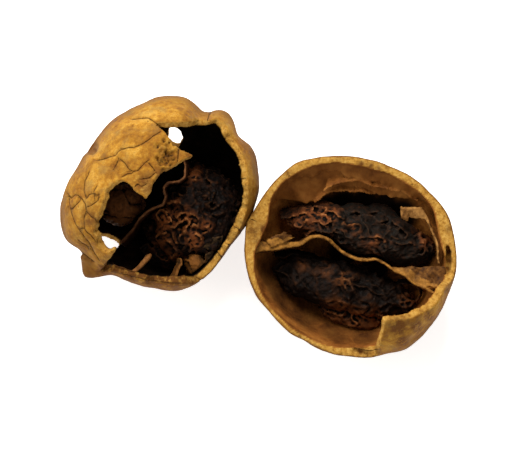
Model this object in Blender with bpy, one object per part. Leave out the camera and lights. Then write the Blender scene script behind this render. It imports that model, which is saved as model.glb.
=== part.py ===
"""A cracked walnut: two parts of one nutshell lying side by side with their mouths open.

Each part has its own frame. Its origin is the middle of the nut and its +Z is the mouth axis, which leans to
the front by LEAN, so a shape's x and y are what is seen when looking straight into the mouth. Both parts rest
on a small flat spot at world z = 0. The left part is most of a nut, with a tongue of shell left over its mouth,
and holds a crumpled kernel lobe, a small lobe and a papery partition between them. The right part is a bowl
with a flap of shell over its lower right side, and a partition that parts its two shrivelled lobes.
"""

import math

import bmesh
import bpy
import numpy as np
from mathutils import Matrix, Vector, noise

MM = 0.001
LEAN = math.radians(12)  # how far both mouth axes lean to the front
WALL = 1.5 * MM  # thickness of the shell away from its seam
CLEARANCE = 0.45 * MM  # between a piece and what it rests against
WEB_CLEARANCE = 0.75 * MM  # between a lobe's vertices and a partition, whose corners reach in between them
PAPER = 0.7 * MM  # thickness of the papery pieces

# Middles of the two parts, above the surface that they lie on.
LEFT_MIDDLE = Vector((-17.92, 6.09, 16.5)) * MM
RIGHT_MIDDLE = Vector((16.38, -5.59, 16.15)) * MM

# Half depth of each part along its mouth axis.
LEFT_DEPTH = 17.0 * MM
RIGHT_DEPTH = 16.6 * MM

# Outline of each part seen along its mouth axis: degrees from +X, and the radius there in millimetres.
LEFT_GIRTH = [
    (2, 18.2), (13, 18.5), (23, 18.8), (30, 18.6), (35, 17.7), (42, 18.7), (50, 19.2), (55, 18.4), (60, 16.2),
    (66, 17.2), (74, 17.8), (82, 17.7), (90, 17.4), (98, 16.6), (110, 16.0), (123, 15.5), (137, 14.8),
    (150, 14.7), (164, 15.4), (176, 16.7), (188, 18.0), (199, 18.6), (209, 18.7), (219, 17.2), (229, 17.5),
    (238, 17.0), (247, 16.8), (257, 16.8), (268, 17.0), (279, 17.7), (290, 17.8), (298, 17.3), (311, 16.5),
    (325, 16.2), (338, 16.2), (350, 17.1),
]
RIGHT_GIRTH = [
    (4, 19.3), (16, 19.4), (27, 19.3), (38, 18.9), (50, 18.2), (63, 17.9), (78, 17.8), (93, 18.3), (107, 18.8),
    (119, 19.3), (130, 19.4), (142, 19.2), (152, 19.1), (161, 19.2), (171, 18.9), (182, 18.6), (191, 18.5),
    (201, 18.1), (211, 17.8), (227, 17.2), (243, 17.2), (258, 17.5), (271, 17.8), (280, 18.3), (290, 18.5),
    (302, 19.3), (313, 19.2), (334, 19.2), (353, 19.1),
]

# Seams that thicken the wall at the mouth: degrees, extra millimetres of thickness, reach in degrees.
LEFT_SEAMS = [(52, 0.8, 14)]
RIGHT_SEAMS = [(160, 2.1, 13), (14, 1.2, 16), (285, 0.7, 14)]
SEAM_REACH = 0.22  # how far a seam reaches down the wall, as a share of the depth

# Edges of the broken mouths, as x and y in millimetres. Beyond the outline, the edge lies on the widest line.
LEFT_MOUTH = [
    (-0.9, 12.9), (1.0, 12.6), (3.8, 12.6), (6.0, 12.8), (7.4, 13.3), (9.2, 13.1), (11.0, 13.5), (12.1, 12.6),
    (12.6, 10.9), (13.5, 9.5), (15.0, 7.8), (15.8, 5.6), (16.2, 3.0), (16.5, 0.4), (16.3, -1.8), (15.6, -4.2),
    (14.7, -6.2), (13.6, -8.6), (12.0, -11.0), (10.2, -13.4), (8.0, -15.8), (6.0, -16.2), (3.8, -15.9),
    (1.2, -16.1), (-1.8, -15.6), (-4.1, -14.9), (-6.7, -14.2), (-8.8, -13.8), (-10.2, -13.9), (-8.9, -12.4),
    (-7.0, -9.6), (-7.7, -9.1), (-9.1, -10.9), (-10.1, -11.2), (-11.2, -10.0), (-11.9, -8.4), (-11.4, -7.2),
    (-11.5, -5.6), (-10.5, -4.2), (-9.9, -2.6), (-9.4, -0.9), (-9.1, 0.4), (-8.0, 1.4), (-6.3, 2.4),
    (-5.1, 1.6), (-3.8, 0.4), (-2.7, -0.6), (-1.6, 0.1), (-0.9, 1.2), (-0.2, 2.6), (0.5, 3.5), (2.4, 4.4),
    (3.5, 5.0), (3.8, 6.9), (3.5, 8.3), (2.6, 9.4), (1.9, 10.4), (0.9, 11.3),
]
RIGHT_MOUTH = [
    (18.9, -2.6), (18.4, -4.4), (17.0, -5.5), (15.9, -7.4), (14.5, -9.1), (12.5, -9.9), (11.0, -10.7),
    (9.4, -11.1), (6.2, -11.3), (6.0, -13.3), (5.7, -14.4), (5.3, -15.7), (5.2, -18.0), (0.0, -19.5),
    (-9.0, -17.0), (-16.0, -12.0), (-19.5, -3.0), (-19.6, 7.0), (-14.0, 14.5), (-5.0, 19.0), (5.0, 19.5),
    (13.0, 15.0), (18.5, 8.0), (19.8, 1.0),
]

# Holes through the far wall of the left part, and the slot that splits the right part's rim.
UPPER_HOLE = [(-0.6, 10.6), (-0.2, 13.6), (1.8, 14.8), (4.0, 13.9), (4.5, 11.3), (3.5, 9.3), (1.0, 9.0)]
LOWER_HOLE = [(-13.5, -6.8), (-10.7, -6.3), (-8.3, -7.6), (-7.7, -10.2), (-9.3, -12.3), (-12.0, -12.0), (-13.7, -9.8)]
RIM_SLOT = [(17.4, 2.0), (18.1, 1.7), (18.2, -1.2), (17.7, -3.1), (17.0, -2.9), (17.3, -0.8)]
SLOT_DEPTH = 2.4 * MM

# The nut's blunt tip, on the left part: where it stands, how high and how wide.
TIP_DIRECTION = Vector((-0.665, -0.745, 0.0))
TIP_HEIGHT = 2.5 * MM
TIP_REACH = 2.3 * MM

# Low lumps and the net of grooves that parts the outside of the shell into plates.
LUMP_SPACING = 6.0 * MM
LUMP_HEIGHT = 0.5 * MM
PLATE_SPACING = 5.0 * MM
PLATE_WARP = 0.35  # how far the plates' edges wander, as a share of their spacing
WARP_OFFSETS = (Vector((17, 5, 3)), Vector((2, 31, 8)), Vector((9, 4, 23)))
GROOVE_REACH = 0.38  # width of a groove's sides, as a share of the plates' spacing
GROOVE_DEPTH = 0.5 * MM

# Partitions: x, y, half thickness and height of the upper edge at each station, in millimetres.
LEFT_WEB = [
    (4.4, 6.6, 0.35, 3.0), (4.9, 4.9, 0.35, 4.0), (4.8, 2.9, 0.35, 4.6), (3.6, 2.1, 0.35, 4.8),
    (1.8, 2.0, 0.35, 4.6), (1.1, 1.1, 0.35, 4.4), (1.5, -0.6, 0.35, 4.2), (0.7, -1.9, 0.35, 4.0),
    (-0.6, -2.4, 0.35, 3.6), (-2.2, -3.5, 0.35, 3.0), (-3.6, -4.6, 0.35, 2.4), (-4.7, -6.3, 0.35, 1.4),
    (-5.9, -8.0, 0.4, 0.2),
]
RIGHT_WEB = [
    (-16.8, 1.9, 1.3, -0.5), (-14.9, 1.9, 1.0, -0.6), (-13.0, 1.9, 0.8, -0.8), (-10.6, 2.1, 0.6, -0.8),
    (-8.6, 2.6, 0.45, -0.5), (-7.1, 3.7, 0.4, 0.0), (-5.4, 3.9, 0.4, 0.0), (-3.6, 3.2, 0.4, -0.6),
    (-2.4, 2.0, 0.35, -1.2), (-0.6, 0.6, 0.35, -1.8), (1.3, -0.3, 0.4, -2.0), (3.2, -0.4, 0.4, -1.9),
    (4.8, -0.2, 0.35, -1.8), (6.2, -1.2, 0.4, -1.7), (8.2, -2.4, 0.6, -1.5), (10.4, -3.4, 1.0, -1.2),
    (12.8, -4.2, 1.5, -1.0), (15.4, -4.4, 2.1, -0.9),
]
WEB_ROWS = 4
BACK_STEPS = 60  # how finely a lobe is drawn back from a partition

# Kernel lobes: middle, half sizes, turn about the mouth axis in degrees, all in the part's own frame.
LEFT_LOBE = dict(middle=(6.4, -4.4, -5.6), half=(8.6, 9.4, 8.6), turn=-20)
SIDE_LOBE = dict(middle=(-6.9, -2.4, -4.4), half=(4.3, 3.9, 5.0), turn=-12)
UPPER_LOBE = dict(middle=(2.4, 4.2, -7.2), half=(14.0, 4.1, 4.6), turn=-13)
LOWER_LOBE = dict(middle=(-0.4, -6.4, -7.9), half=(13.4, 5.2, 4.8), turn=-17)
FOLD_SPACING = 4.6 * MM
FOLD_HEIGHT = 1.5 * MM
WRINKLE_SPACING = 2.1 * MM
WRINKLE_HEIGHT = 0.5 * MM
RIDGE_SHARPNESS = 2.0

# The lining that has come away from the right bowl's far wall: degrees, and its lower edge's radius and depth.
LINING_FROM, LINING_TO = 33, 132
LINING_EDGE = [(33, 15.2, 3.2), (50, 13.8, 4.2), (68, 12.4, 5.4), (96, 12.3, 5.8), (121, 12.0, 5.6), (132, 12.6, 4.8)]
LINING_TOP = 1.3 * MM
LINING_STEPS = (24, 4)

# Paths of the curled end of that lining and of the strip standing in the left part, and their depths.
CURL_PATH = [
    (15.6, -1.0), (15.7, 1.2), (15.3, 3.4), (14.5, 5.4), (13.5, 7.2), (12.3, 8.2), (10.8, 8.5), (9.5, 8.4), (9.2, 7.4),
]
CURL_TOP, CURL_FOOT = -1.0 * MM, -3.6 * MM
STRIP_PATH = [(-4.4, -13.7), (-3.4, -13.0), (-2.4, -12.1), (-1.5, -11.2)]
STRIP_TOP, STRIP_FOOT = 5.0 * MM, 1.0 * MM

# The rounded scrap of lining that lies against the left part's lower right wall.
SCRAP = dict(middle=(6.6, -12.6, -2.6), half=(1.9, 2.6, 3.4), turn=20)

OUTER_MESH = (72, 36)  # segments round and down the outer face
INNER_MESH = (40, 20)
LOBE_MESH = 4  # subdivisions of a kernel lobe
SCRAP_MESH = 3
CUT_INNER, CUT_OUTER = 0.72, 1.25  # a cutter's loops, as shares of the nut's own surface
CUT_RISE = 40 * MM
WIDEST_SHARE = 0.9978  # how near the widest line an edge may come

SHELL_COLOUR = (0.58, 0.29, 0.052)
PAPER_COLOUR = (0.30, 0.13, 0.03)
KERNEL_COLOUR = (0.045, 0.018, 0.010)
LINING_COLOUR = (0.17, 0.058, 0.015)


class Nut:
    """The form of one part of the shell, and the room inside it."""

    def __init__(self, girth, depth, seams):
        angles, radii = zip(*girth)
        around = np.interp(np.arange(360), angles, radii, period=360)
        self.radii = sum(np.roll(around, shift) for shift in range(-3, 4)) / 7 * MM
        self.depth = depth
        self.seams = seams

    def radius(self, angle):
        degrees = math.degrees(angle) % 360
        low = int(degrees) % 360
        share = degrees - int(degrees)
        return self.radii[low] * (1 - share) + self.radii[(low + 1) % 360] * share

    def wall(self, angle, level):
        """Thickness of the shell at a direction, where level is the height as a share of the depth."""
        thickness = WALL
        for at, extra, reach in self.seams:
            away = (math.degrees(angle) - at + 180) % 360 - 180
            thickness += extra * MM * math.exp(-((away / reach) ** 2) - (level / SEAM_REACH) ** 2)
        return thickness

    def outer(self, direction):
        """The point of the plain outer face in a direction from the middle."""
        radius = self.radius(math.atan2(direction.y, direction.x))
        return Vector((direction.x * radius, direction.y * radius, direction.z * self.depth))

    def inner(self, direction):
        angle = math.atan2(direction.y, direction.x)
        radius = self.radius(angle) - self.wall(angle, direction.z)
        return Vector((direction.x * radius, direction.y * radius, direction.z * (self.depth - WALL)))

    def seen_at(self, x, y, side=1):
        """The point of the outer face that is seen at x and y from the mouth, or its far side for side -1."""
        angle = math.atan2(y, x)
        share = min(math.hypot(x, y) / self.radius(angle), WIDEST_SHARE)
        across = self.radius(angle) * share
        height = side * self.depth * math.sqrt(1 - share * share)
        return Vector((across * math.cos(angle), across * math.sin(angle), height))

    def keep_in(self, point):
        """The point, drawn in so that it stays clear of the inner face."""
        angle = math.atan2(point.y, point.x)
        radius = self.radius(angle) - self.wall(angle, point.z / self.depth)
        depth = self.depth - WALL
        reach = math.sqrt((point.x**2 + point.y**2) / radius**2 + (point.z / depth) ** 2)
        most = 1 - CLEARANCE / min(radius, depth)
        return point * min(1, most / max(reach, 1e-9))

    def floor(self, x, y):
        """Height of the inner face under x and y, with the clearance that a piece keeps to it."""
        radius = self.radius(math.atan2(y, x)) - WALL - CLEARANCE
        share = min(math.hypot(x, y) / radius, 1)
        return -(self.depth - WALL - CLEARANCE) * math.sqrt(1 - share * share)


def clear_scene():
    for obj in list(bpy.data.objects):
        bpy.data.objects.remove(obj, do_unlink=True)


def make_material(name, colour, roughness):
    material = bpy.data.materials.new(name)
    material.use_nodes = True
    shader = material.node_tree.nodes["Principled BSDF"]
    shader.inputs["Base Color"].default_value = (*colour, 1)
    shader.inputs["Roughness"].default_value = roughness
    return material


def make_half(name, middle):
    """The empty that carries one part of the nut, at its middle and leaning to the front."""
    half = bpy.data.objects.new(name, None)
    half.location = middle
    half.rotation_euler = (LEAN, 0, 0)
    bpy.context.scene.collection.objects.link(half)
    return half


def make_object(name, bm, half, material=None):
    bmesh.ops.recalc_face_normals(bm, faces=bm.faces)
    mesh = bpy.data.meshes.new(name)
    bm.to_mesh(mesh)
    bm.free()
    mesh.shade_smooth()
    mesh.set_sharp_from_angle(angle=math.radians(50))
    obj = bpy.data.objects.new(name, mesh)
    obj.parent = half
    if material:
        mesh.materials.append(material)
    else:
        obj.hide_render = True
        obj.display_type = "WIRE"
    bpy.context.scene.collection.objects.link(obj)
    return obj


def relief(point):
    """How far the outer face stands above the plain form: low lumps with a net of grooves round the plates."""
    lump = noise.noise(point / LUMP_SPACING)
    spot = point / PLATE_SPACING
    warp = Vector([noise.noise(spot + offset) for offset in WARP_OFFSETS]) * PLATE_WARP
    near, next_near = noise.voronoi(spot + warp)[0][:2]
    groove = max(0, 1 - (next_near - near) / GROOVE_REACH)
    return LUMP_HEIGHT * lump - GROOVE_DEPTH * groove


def outer_body(nut, middle, tip):
    """The whole nut's outer face as a closed body, flat where it meets the surface that it lies on."""
    up = Vector((0, math.sin(LEAN), math.cos(LEAN)))  # the world's up in the part's own frame
    tip_point = nut.outer(TIP_DIRECTION)
    bm = bmesh.new()
    bmesh.ops.create_uvsphere(bm, u_segments=OUTER_MESH[0], v_segments=OUTER_MESH[1], radius=1)
    for vertex in bm.verts:
        direction = vertex.co.normalized()
        point = nut.outer(direction)
        raised = relief(point)
        if tip:
            raised += TIP_HEIGHT * math.exp(-(((point - tip_point).length / TIP_REACH) ** 2))
        point += direction * raised
        below = -(point.dot(up) + middle.z)
        vertex.co = point + up * max(0, below)
    return bm


def extrude(bm, faces, closes_end):
    """Extrudes a region and returns its new faces. The old ones stay where they close the end of the body."""
    grown = bmesh.ops.extrude_face_region(bm, geom=faces)["geom"]
    if not closes_end:
        bmesh.ops.delete(bm, geom=faces, context="FACES")
    return [item for item in grown if isinstance(item, bmesh.types.BMFace)]


def inner_body(nut):
    bm = bmesh.new()
    bmesh.ops.create_uvsphere(bm, u_segments=INNER_MESH[0], v_segments=INNER_MESH[1], radius=1)
    for vertex in bm.verts:
        vertex.co = nut.inner(vertex.co.normalized())
    return bm


def edge_cutter(nut, edge, side=1, rise=0.0):
    """A cutter whose walls run out from the nut's middle through an edge drawn on its surface, then up by rise."""
    bm = bmesh.new()
    points = [nut.seen_at(x * MM, y * MM, side) for x, y in edge]
    cap = [bm.faces.new([bm.verts.new(point * CUT_INNER) for point in points])]
    cap = extrude(bm, cap, True)
    for vertex in cap[0].verts:
        vertex.co *= CUT_OUTER / CUT_INNER
    if rise:
        cap = extrude(bm, cap, False)
        for vertex in cap[0].verts:
            vertex.co.z += rise
    bmesh.ops.triangulate(bm, faces=[face for face in bm.faces if len(face.verts) > 4])
    return bm


def slot_cutter(nut, edge, depth):
    """A straight cutter that sinks the outline of a slot into the rim."""
    bm = bmesh.new()
    top = bm.faces.new([bm.verts.new((x * MM, y * MM, 3 * depth)) for x, y in edge])
    for vertex in extrude(bm, [top], True)[0].verts:
        vertex.co.z = -depth
    return bm


def make_shell(name, nut, half, cuts, tip, material):
    """A shell: the outer body, less its hollow and less what has broken away."""
    shell = make_object(name, outer_body(nut, half.location, tip), half, material)
    for label, bm in [("hollow", inner_body(nut)), *cuts]:
        modifier = shell.modifiers.new(label, "BOOLEAN")
        modifier.operation = "DIFFERENCE"
        modifier.object = make_object(f"{name}_{label}", bm, half)
    return shell


def web_side(path, point):
    """Signed distance across the mouth plane from a partition's middle line, and the half thickness there."""
    nearest = None
    for (ax, ay, ah, _), (bx, by, bh, _) in zip(path, path[1:]):
        along = Vector((bx - ax, by - ay)) * MM
        offset = Vector((point.x - ax * MM, point.y - ay * MM))
        share = max(0, min(1, offset.dot(along) / along.length_squared))
        normal = Vector((-along.y, along.x)).normalized()
        distance = offset.dot(normal)
        # At a corner two stretches are equally near, and the one that the point faces decides its side.
        rank = (round((offset - along * share).length / MM, 3), -abs(distance))
        if nearest is None or rank < nearest[0]:
            nearest = (rank, distance, (ah + (bh - ah) * share) * MM)
    return nearest[1:]


def keep_off(path, side, centre, point):
    """The point, drawn back towards its lobe's centre until it stands clear on its own side of a partition."""
    clear = centre
    for step in range(1, BACK_STEPS + 1):
        spot = centre.lerp(point, step / BACK_STEPS)
        distance, half = web_side(path, spot)
        if distance * side < half + WEB_CLEARANCE:
            break
        clear = spot
    return clear


def keep_clear(shape, centre, point):
    """The point, drawn back towards its own lobe's centre until it is clear of another lobe."""
    turn = Matrix.Rotation(-math.radians(shape["turn"]), 3, "Z")
    size = [half * MM + 2 * CLEARANCE for half in shape["half"]]
    start = Vector(a / b for a, b in zip(turn @ (centre - Vector(shape["middle"]) * MM), size))
    way = Vector(a / b for a, b in zip(turn @ (point - centre), size))
    inside = start.dot(way) ** 2 - way.length_squared * (start.length_squared - 1)
    if inside <= 0:
        return point
    share = (-start.dot(way) - math.sqrt(inside)) / way.length_squared
    return centre + (point - centre) * share if 0 < share < 1 else point


def make_web(name, nut, half, path, material):
    """A papery partition that stands on the inside of the shell along a path."""
    bm = bmesh.new()
    pairs = []
    for i, (x, y, thick, top) in enumerate(path):
        before, after = path[max(i - 1, 0)], path[min(i + 1, len(path) - 1)]
        normal = Vector((before[1] - after[1], after[0] - before[0], 0)).normalized()
        middle = Vector((x, y, top))
        pairs.append([bm.verts.new((middle + normal * thick * way) * MM) for way in (1, -1)])
    faces = [bm.faces.new((a[0], b[0], b[1], a[1])) for a, b in zip(pairs, pairs[1:])]
    columns = [tuple(vertex.co) for pair in pairs for vertex in pair]
    for row in range(1, WEB_ROWS + 1):
        faces = extrude(bm, faces, row == 1)
        for vertex in {vertex for face in faces for vertex in face.verts}:
            x, y, top = min(columns, key=lambda at: math.hypot(at[0] - vertex.co.x, at[1] - vertex.co.y))
            vertex.co.z = top + (nut.floor(x, y) - top) * row / WEB_ROWS
    for vertex in bm.verts:
        vertex.co = nut.keep_in(vertex.co)
    return make_object(name, bm, half, material)


def folds(point):
    """Depth of a kernel's folds: broad sharp ridges with finer wrinkles over them."""
    broad = 1 - abs(noise.noise(point / FOLD_SPACING)) * 2
    fine = 1 - abs(noise.noise(point / WRINKLE_SPACING + Vector((3, 1, 4)))) * 2
    return FOLD_HEIGHT * (broad**RIDGE_SHARPNESS - 0.6) + WRINKLE_HEIGHT * (fine - 0.5)


def make_lobe(name, nut, half, shape, material, webs=(), clear_of=(), mesh=LOBE_MESH, fold_share=1.0):
    """A shrivelled lobe that fills its side of the hollow and lies against the shell and the partition."""
    middle, size = Vector(shape["middle"]) * MM, Vector(shape["half"]) * MM
    turn = Matrix.Rotation(math.radians(shape["turn"]), 3, "Z")
    bm = bmesh.new()
    bmesh.ops.create_icosphere(bm, subdivisions=mesh, radius=1)
    for vertex in bm.verts:
        direction = vertex.co.normalized()
        spot = direction * size
        outward = Vector(a / b for a, b in zip(direction, size)).normalized()
        spot += outward * folds(spot + middle) * fold_share
        point = turn @ spot + middle
        for path, side in webs:
            point = keep_off(path, side, middle, point)
        for other in clear_of:
            point = keep_clear(other, middle, point)
        vertex.co = nut.keep_in(point)
    return make_object(name, bm, half, material)


def make_lining(name, nut, half, material):
    """The skin that has peeled from the bowl's far wall and overhangs it like a ledge."""
    bm = bmesh.new()
    bmesh.ops.create_grid(bm, x_segments=LINING_STEPS[0], y_segments=LINING_STEPS[1], size=0.5)
    angles, radii, depths = zip(*LINING_EDGE)
    for vertex in bm.verts:
        degrees = LINING_FROM + (LINING_TO - LINING_FROM) * (vertex.co.x + 0.5)
        down = 0.5 - vertex.co.y
        angle = math.radians(degrees)
        height = -LINING_TOP - (np.interp(degrees, angles, depths) * MM - LINING_TOP) * down
        wall = nut.radius(angle) - nut.wall(angle, height / nut.depth)
        rim = wall * math.sqrt(1 - (height / (nut.depth - WALL)) ** 2) - CLEARANCE - PAPER * 0.5
        ledge = np.interp(degrees, angles, radii) * MM
        radius = rim + (min(ledge, rim) - rim) * down**1.5
        vertex.co = (radius * math.cos(angle), radius * math.sin(angle), height)
    bmesh.ops.recalc_face_normals(bm, faces=bm.faces)
    bmesh.ops.solidify(bm, geom=bm.faces[:], thickness=PAPER)
    for vertex in bm.verts:
        vertex.co = nut.keep_in(vertex.co)
    return make_object(name, bm, half, material)


def make_strip(name, nut, half, path, top, foot, material):
    """A thin upright strip along a path."""
    bm = bmesh.new()
    line = [bm.verts.new((x * MM, y * MM, top)) for x, y in path]
    edges = [bm.edges.new(pair) for pair in zip(line, line[1:])]
    grown = bmesh.ops.extrude_edge_only(bm, edges=edges)["geom"]
    for vertex in (item for item in grown if isinstance(item, bmesh.types.BMVert)):
        vertex.co.z = foot
    bmesh.ops.recalc_face_normals(bm, faces=bm.faces)
    bmesh.ops.solidify(bm, geom=bm.faces[:], thickness=PAPER)
    for vertex in bm.verts:
        vertex.co = nut.keep_in(vertex.co)
    return make_object(name, bm, half, material)


def make_left(shell_finish, paper, kernel, skin):
    half = make_half("left_half", LEFT_MIDDLE)
    nut = Nut(LEFT_GIRTH, LEFT_DEPTH, LEFT_SEAMS)
    cuts = [
        ("mouth", edge_cutter(nut, LEFT_MOUTH, rise=CUT_RISE)),
        ("upper_hole", edge_cutter(nut, UPPER_HOLE, side=-1)),
        ("lower_hole", edge_cutter(nut, LOWER_HOLE, side=-1)),
    ]
    make_shell("left_shell", nut, half, cuts, True, shell_finish)
    make_web("left_partition", nut, half, LEFT_WEB, paper)
    make_lobe("left_kernel_lobe", nut, half, LEFT_LOBE, kernel, [(LEFT_WEB, 1)], [SCRAP])
    make_lobe(
        "left_kernel_small_lobe", nut, half, SIDE_LOBE, kernel, [(LEFT_WEB, -1)], mesh=SCRAP_MESH, fold_share=0.6
    )
    make_lobe("left_lining_scrap", nut, half, SCRAP, skin, mesh=SCRAP_MESH, fold_share=0.2)
    make_strip("left_partition_strip", nut, half, STRIP_PATH, STRIP_TOP, STRIP_FOOT, paper)


def make_right(shell_finish, paper, kernel, skin):
    half = make_half("right_half", RIGHT_MIDDLE)
    nut = Nut(RIGHT_GIRTH, RIGHT_DEPTH, RIGHT_SEAMS)
    cuts = [
        ("mouth", edge_cutter(nut, RIGHT_MOUTH, rise=CUT_RISE)),
        ("rim_slot", slot_cutter(nut, RIM_SLOT, SLOT_DEPTH)),
    ]
    make_shell("right_shell", nut, half, cuts, False, shell_finish)
    make_web("right_partition", nut, half, RIGHT_WEB, paper)
    make_lobe("right_kernel_upper_lobe", nut, half, UPPER_LOBE, kernel, [(RIGHT_WEB, 1)])
    make_lobe("right_kernel_lower_lobe", nut, half, LOWER_LOBE, kernel, [(RIGHT_WEB, -1)])
    make_lining("right_lining", nut, half, skin)
    make_strip("right_lining_curl", nut, half, CURL_PATH, CURL_TOP, CURL_FOOT, paper)


def main():
    clear_scene()
    finishes = (
        make_material("shell", SHELL_COLOUR, 0.65),
        make_material("partition", PAPER_COLOUR, 0.6),
        make_material("kernel", KERNEL_COLOUR, 0.45),
        make_material("lining", LINING_COLOUR, 0.55),
    )
    make_left(*finishes)
    make_right(*finishes)


main()
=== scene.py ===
"""A walnut that has cracked open: two parts of its shell side by side, with what is left of the nut in them.

Each part is drawn in its own frame. Its origin is the middle of the nut and its +Z is the axis of its open
mouth, so x and y are what is seen looking straight in. The axis leans to the front as the part lies there.
"""

import math

import bmesh
import bpy
import numpy as np
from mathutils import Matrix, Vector, noise


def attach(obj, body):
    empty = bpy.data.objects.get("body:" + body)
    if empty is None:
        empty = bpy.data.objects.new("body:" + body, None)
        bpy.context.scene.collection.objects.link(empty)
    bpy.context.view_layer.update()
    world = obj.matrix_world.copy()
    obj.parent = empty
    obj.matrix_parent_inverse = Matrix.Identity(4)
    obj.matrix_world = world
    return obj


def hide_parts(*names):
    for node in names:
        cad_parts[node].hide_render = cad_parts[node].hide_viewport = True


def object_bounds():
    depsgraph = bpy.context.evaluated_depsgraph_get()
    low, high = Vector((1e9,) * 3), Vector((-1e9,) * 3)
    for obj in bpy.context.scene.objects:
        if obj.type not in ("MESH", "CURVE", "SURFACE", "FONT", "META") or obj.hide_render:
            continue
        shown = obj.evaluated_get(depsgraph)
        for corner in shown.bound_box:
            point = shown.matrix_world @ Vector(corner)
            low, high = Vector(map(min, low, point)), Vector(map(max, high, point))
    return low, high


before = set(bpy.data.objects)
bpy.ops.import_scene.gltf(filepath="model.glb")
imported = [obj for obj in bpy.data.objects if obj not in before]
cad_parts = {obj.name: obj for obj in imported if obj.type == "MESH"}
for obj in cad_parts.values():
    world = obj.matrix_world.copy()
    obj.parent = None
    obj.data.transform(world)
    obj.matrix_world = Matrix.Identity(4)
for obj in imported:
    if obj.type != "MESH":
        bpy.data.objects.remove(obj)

cad_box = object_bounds()

# Left part of the shell: most of a walnut's hard woody shell, dried to ochre and crazed into thin plates. It
# has broken open at the front, with a tongue of shell left over the mouth and two holes through its far wall.
MM = 0.001
LEAN = math.radians(12)
WALL = 1.5 * MM
CLEARANCE = 0.45 * MM
SEAM_REACH = 0.22
LEFT_MIDDLE = (-17.92, 6.09, 16.5)
LEFT_DEPTH = 17.0
# Its outline seen from the mouth: angles in degrees, and radii in millimetres.
LEFT_GIRTH = [
    (2, 18.2), (13, 18.5), (23, 18.8), (30, 18.6), (35, 17.7), (42, 18.7), (50, 19.2), (55, 18.4),
    (60, 16.2), (66, 17.2), (74, 17.8), (82, 17.7), (90, 17.4), (98, 16.6), (110, 16.0), (123, 15.5),
    (137, 14.8), (150, 14.7), (164, 15.4), (176, 16.7), (188, 18.0), (199, 18.6), (209, 18.7), (219, 17.2),
    (229, 17.5), (238, 17.0), (247, 16.8), (257, 16.8), (268, 17.0), (279, 17.7), (290, 17.8), (298, 17.3),
    (311, 16.5), (325, 16.2), (338, 16.45), (350, 17.2),
]
# Thicker places of the wall: angle, what is added in millimetres, and reach in degrees.
LEFT_SEAMS = [(52, 0.8, 14)]
LEFT_MOUTH = [
    (-0.9, 12.9), (1.0, 12.6), (3.8, 12.6), (6.0, 12.8), (7.4, 13.3), (9.2, 13.1), (11.0, 13.5),
    (12.1, 12.6), (12.6, 10.9), (13.5, 9.5), (15.0, 7.8), (15.8, 5.6), (16.2, 3.0), (16.5, 0.4),
    (16.3, -1.8), (15.6, -4.2), (14.7, -6.2), (13.6, -8.6), (12.0, -11.0), (10.2, -13.4), (8.0, -15.8),
    (6.0, -16.2), (3.8, -15.9), (1.2, -16.2), (-1.8, -15.9), (-4.1, -15.4), (-6.7, -14.6), (-8.8, -13.9),
    (-10.3, -13.8), (-9.0, -12.1), (-7.8, -10.7), (-7.9, -10.2), (-8.5, -10.35), (-9.2, -10.85),
    (-9.9, -10.5), (-10.4, -9.8), (-10.8, -8.8), (-10.9, -7.6), (-11.5, -7.0), (-11.0, -6.2),
    (-11.4, -5.4), (-10.5, -4.2), (-9.9, -2.6), (-9.4, -0.9), (-9.1, 0.4), (-8.0, 1.4), (-6.3, 2.4),
    (-5.0, 1.5), (-3.6, 0.1), (-2.1, -1.2), (-1.3, -0.2), (-0.9, 1.2), (-0.2, 2.6), (0.5, 3.5), (2.4, 4.4),
    (3.6, 5.0), (4.2, 5.7), (6.7, 6.8), (4.0, 8.0), (3.3, 8.6), (2.6, 9.4), (1.9, 10.4), (0.9, 11.3),
]
UPPER_HOLE = [(1.7, 10.2), (1.7, 12.6), (2.6, 13.4), (4.2, 12.6), (4.6, 10.9), (3.9, 9.3), (2.6, 9.3)]
LOWER_HOLE = [
    (-12.6, -8.0), (-10.6, -7.8), (-8.8, -8.6), (-7.5, -9.3), (-7.8, -10.3), (-9.2, -11.4), (-12.0, -11.6),
    (-13.4, -9.8),
]
TIP_DIRECTION = (-0.665, -0.745, 0.0)
TIP_HEIGHT = 2.5 * MM
TIP_REACH = 2.3 * MM
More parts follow.
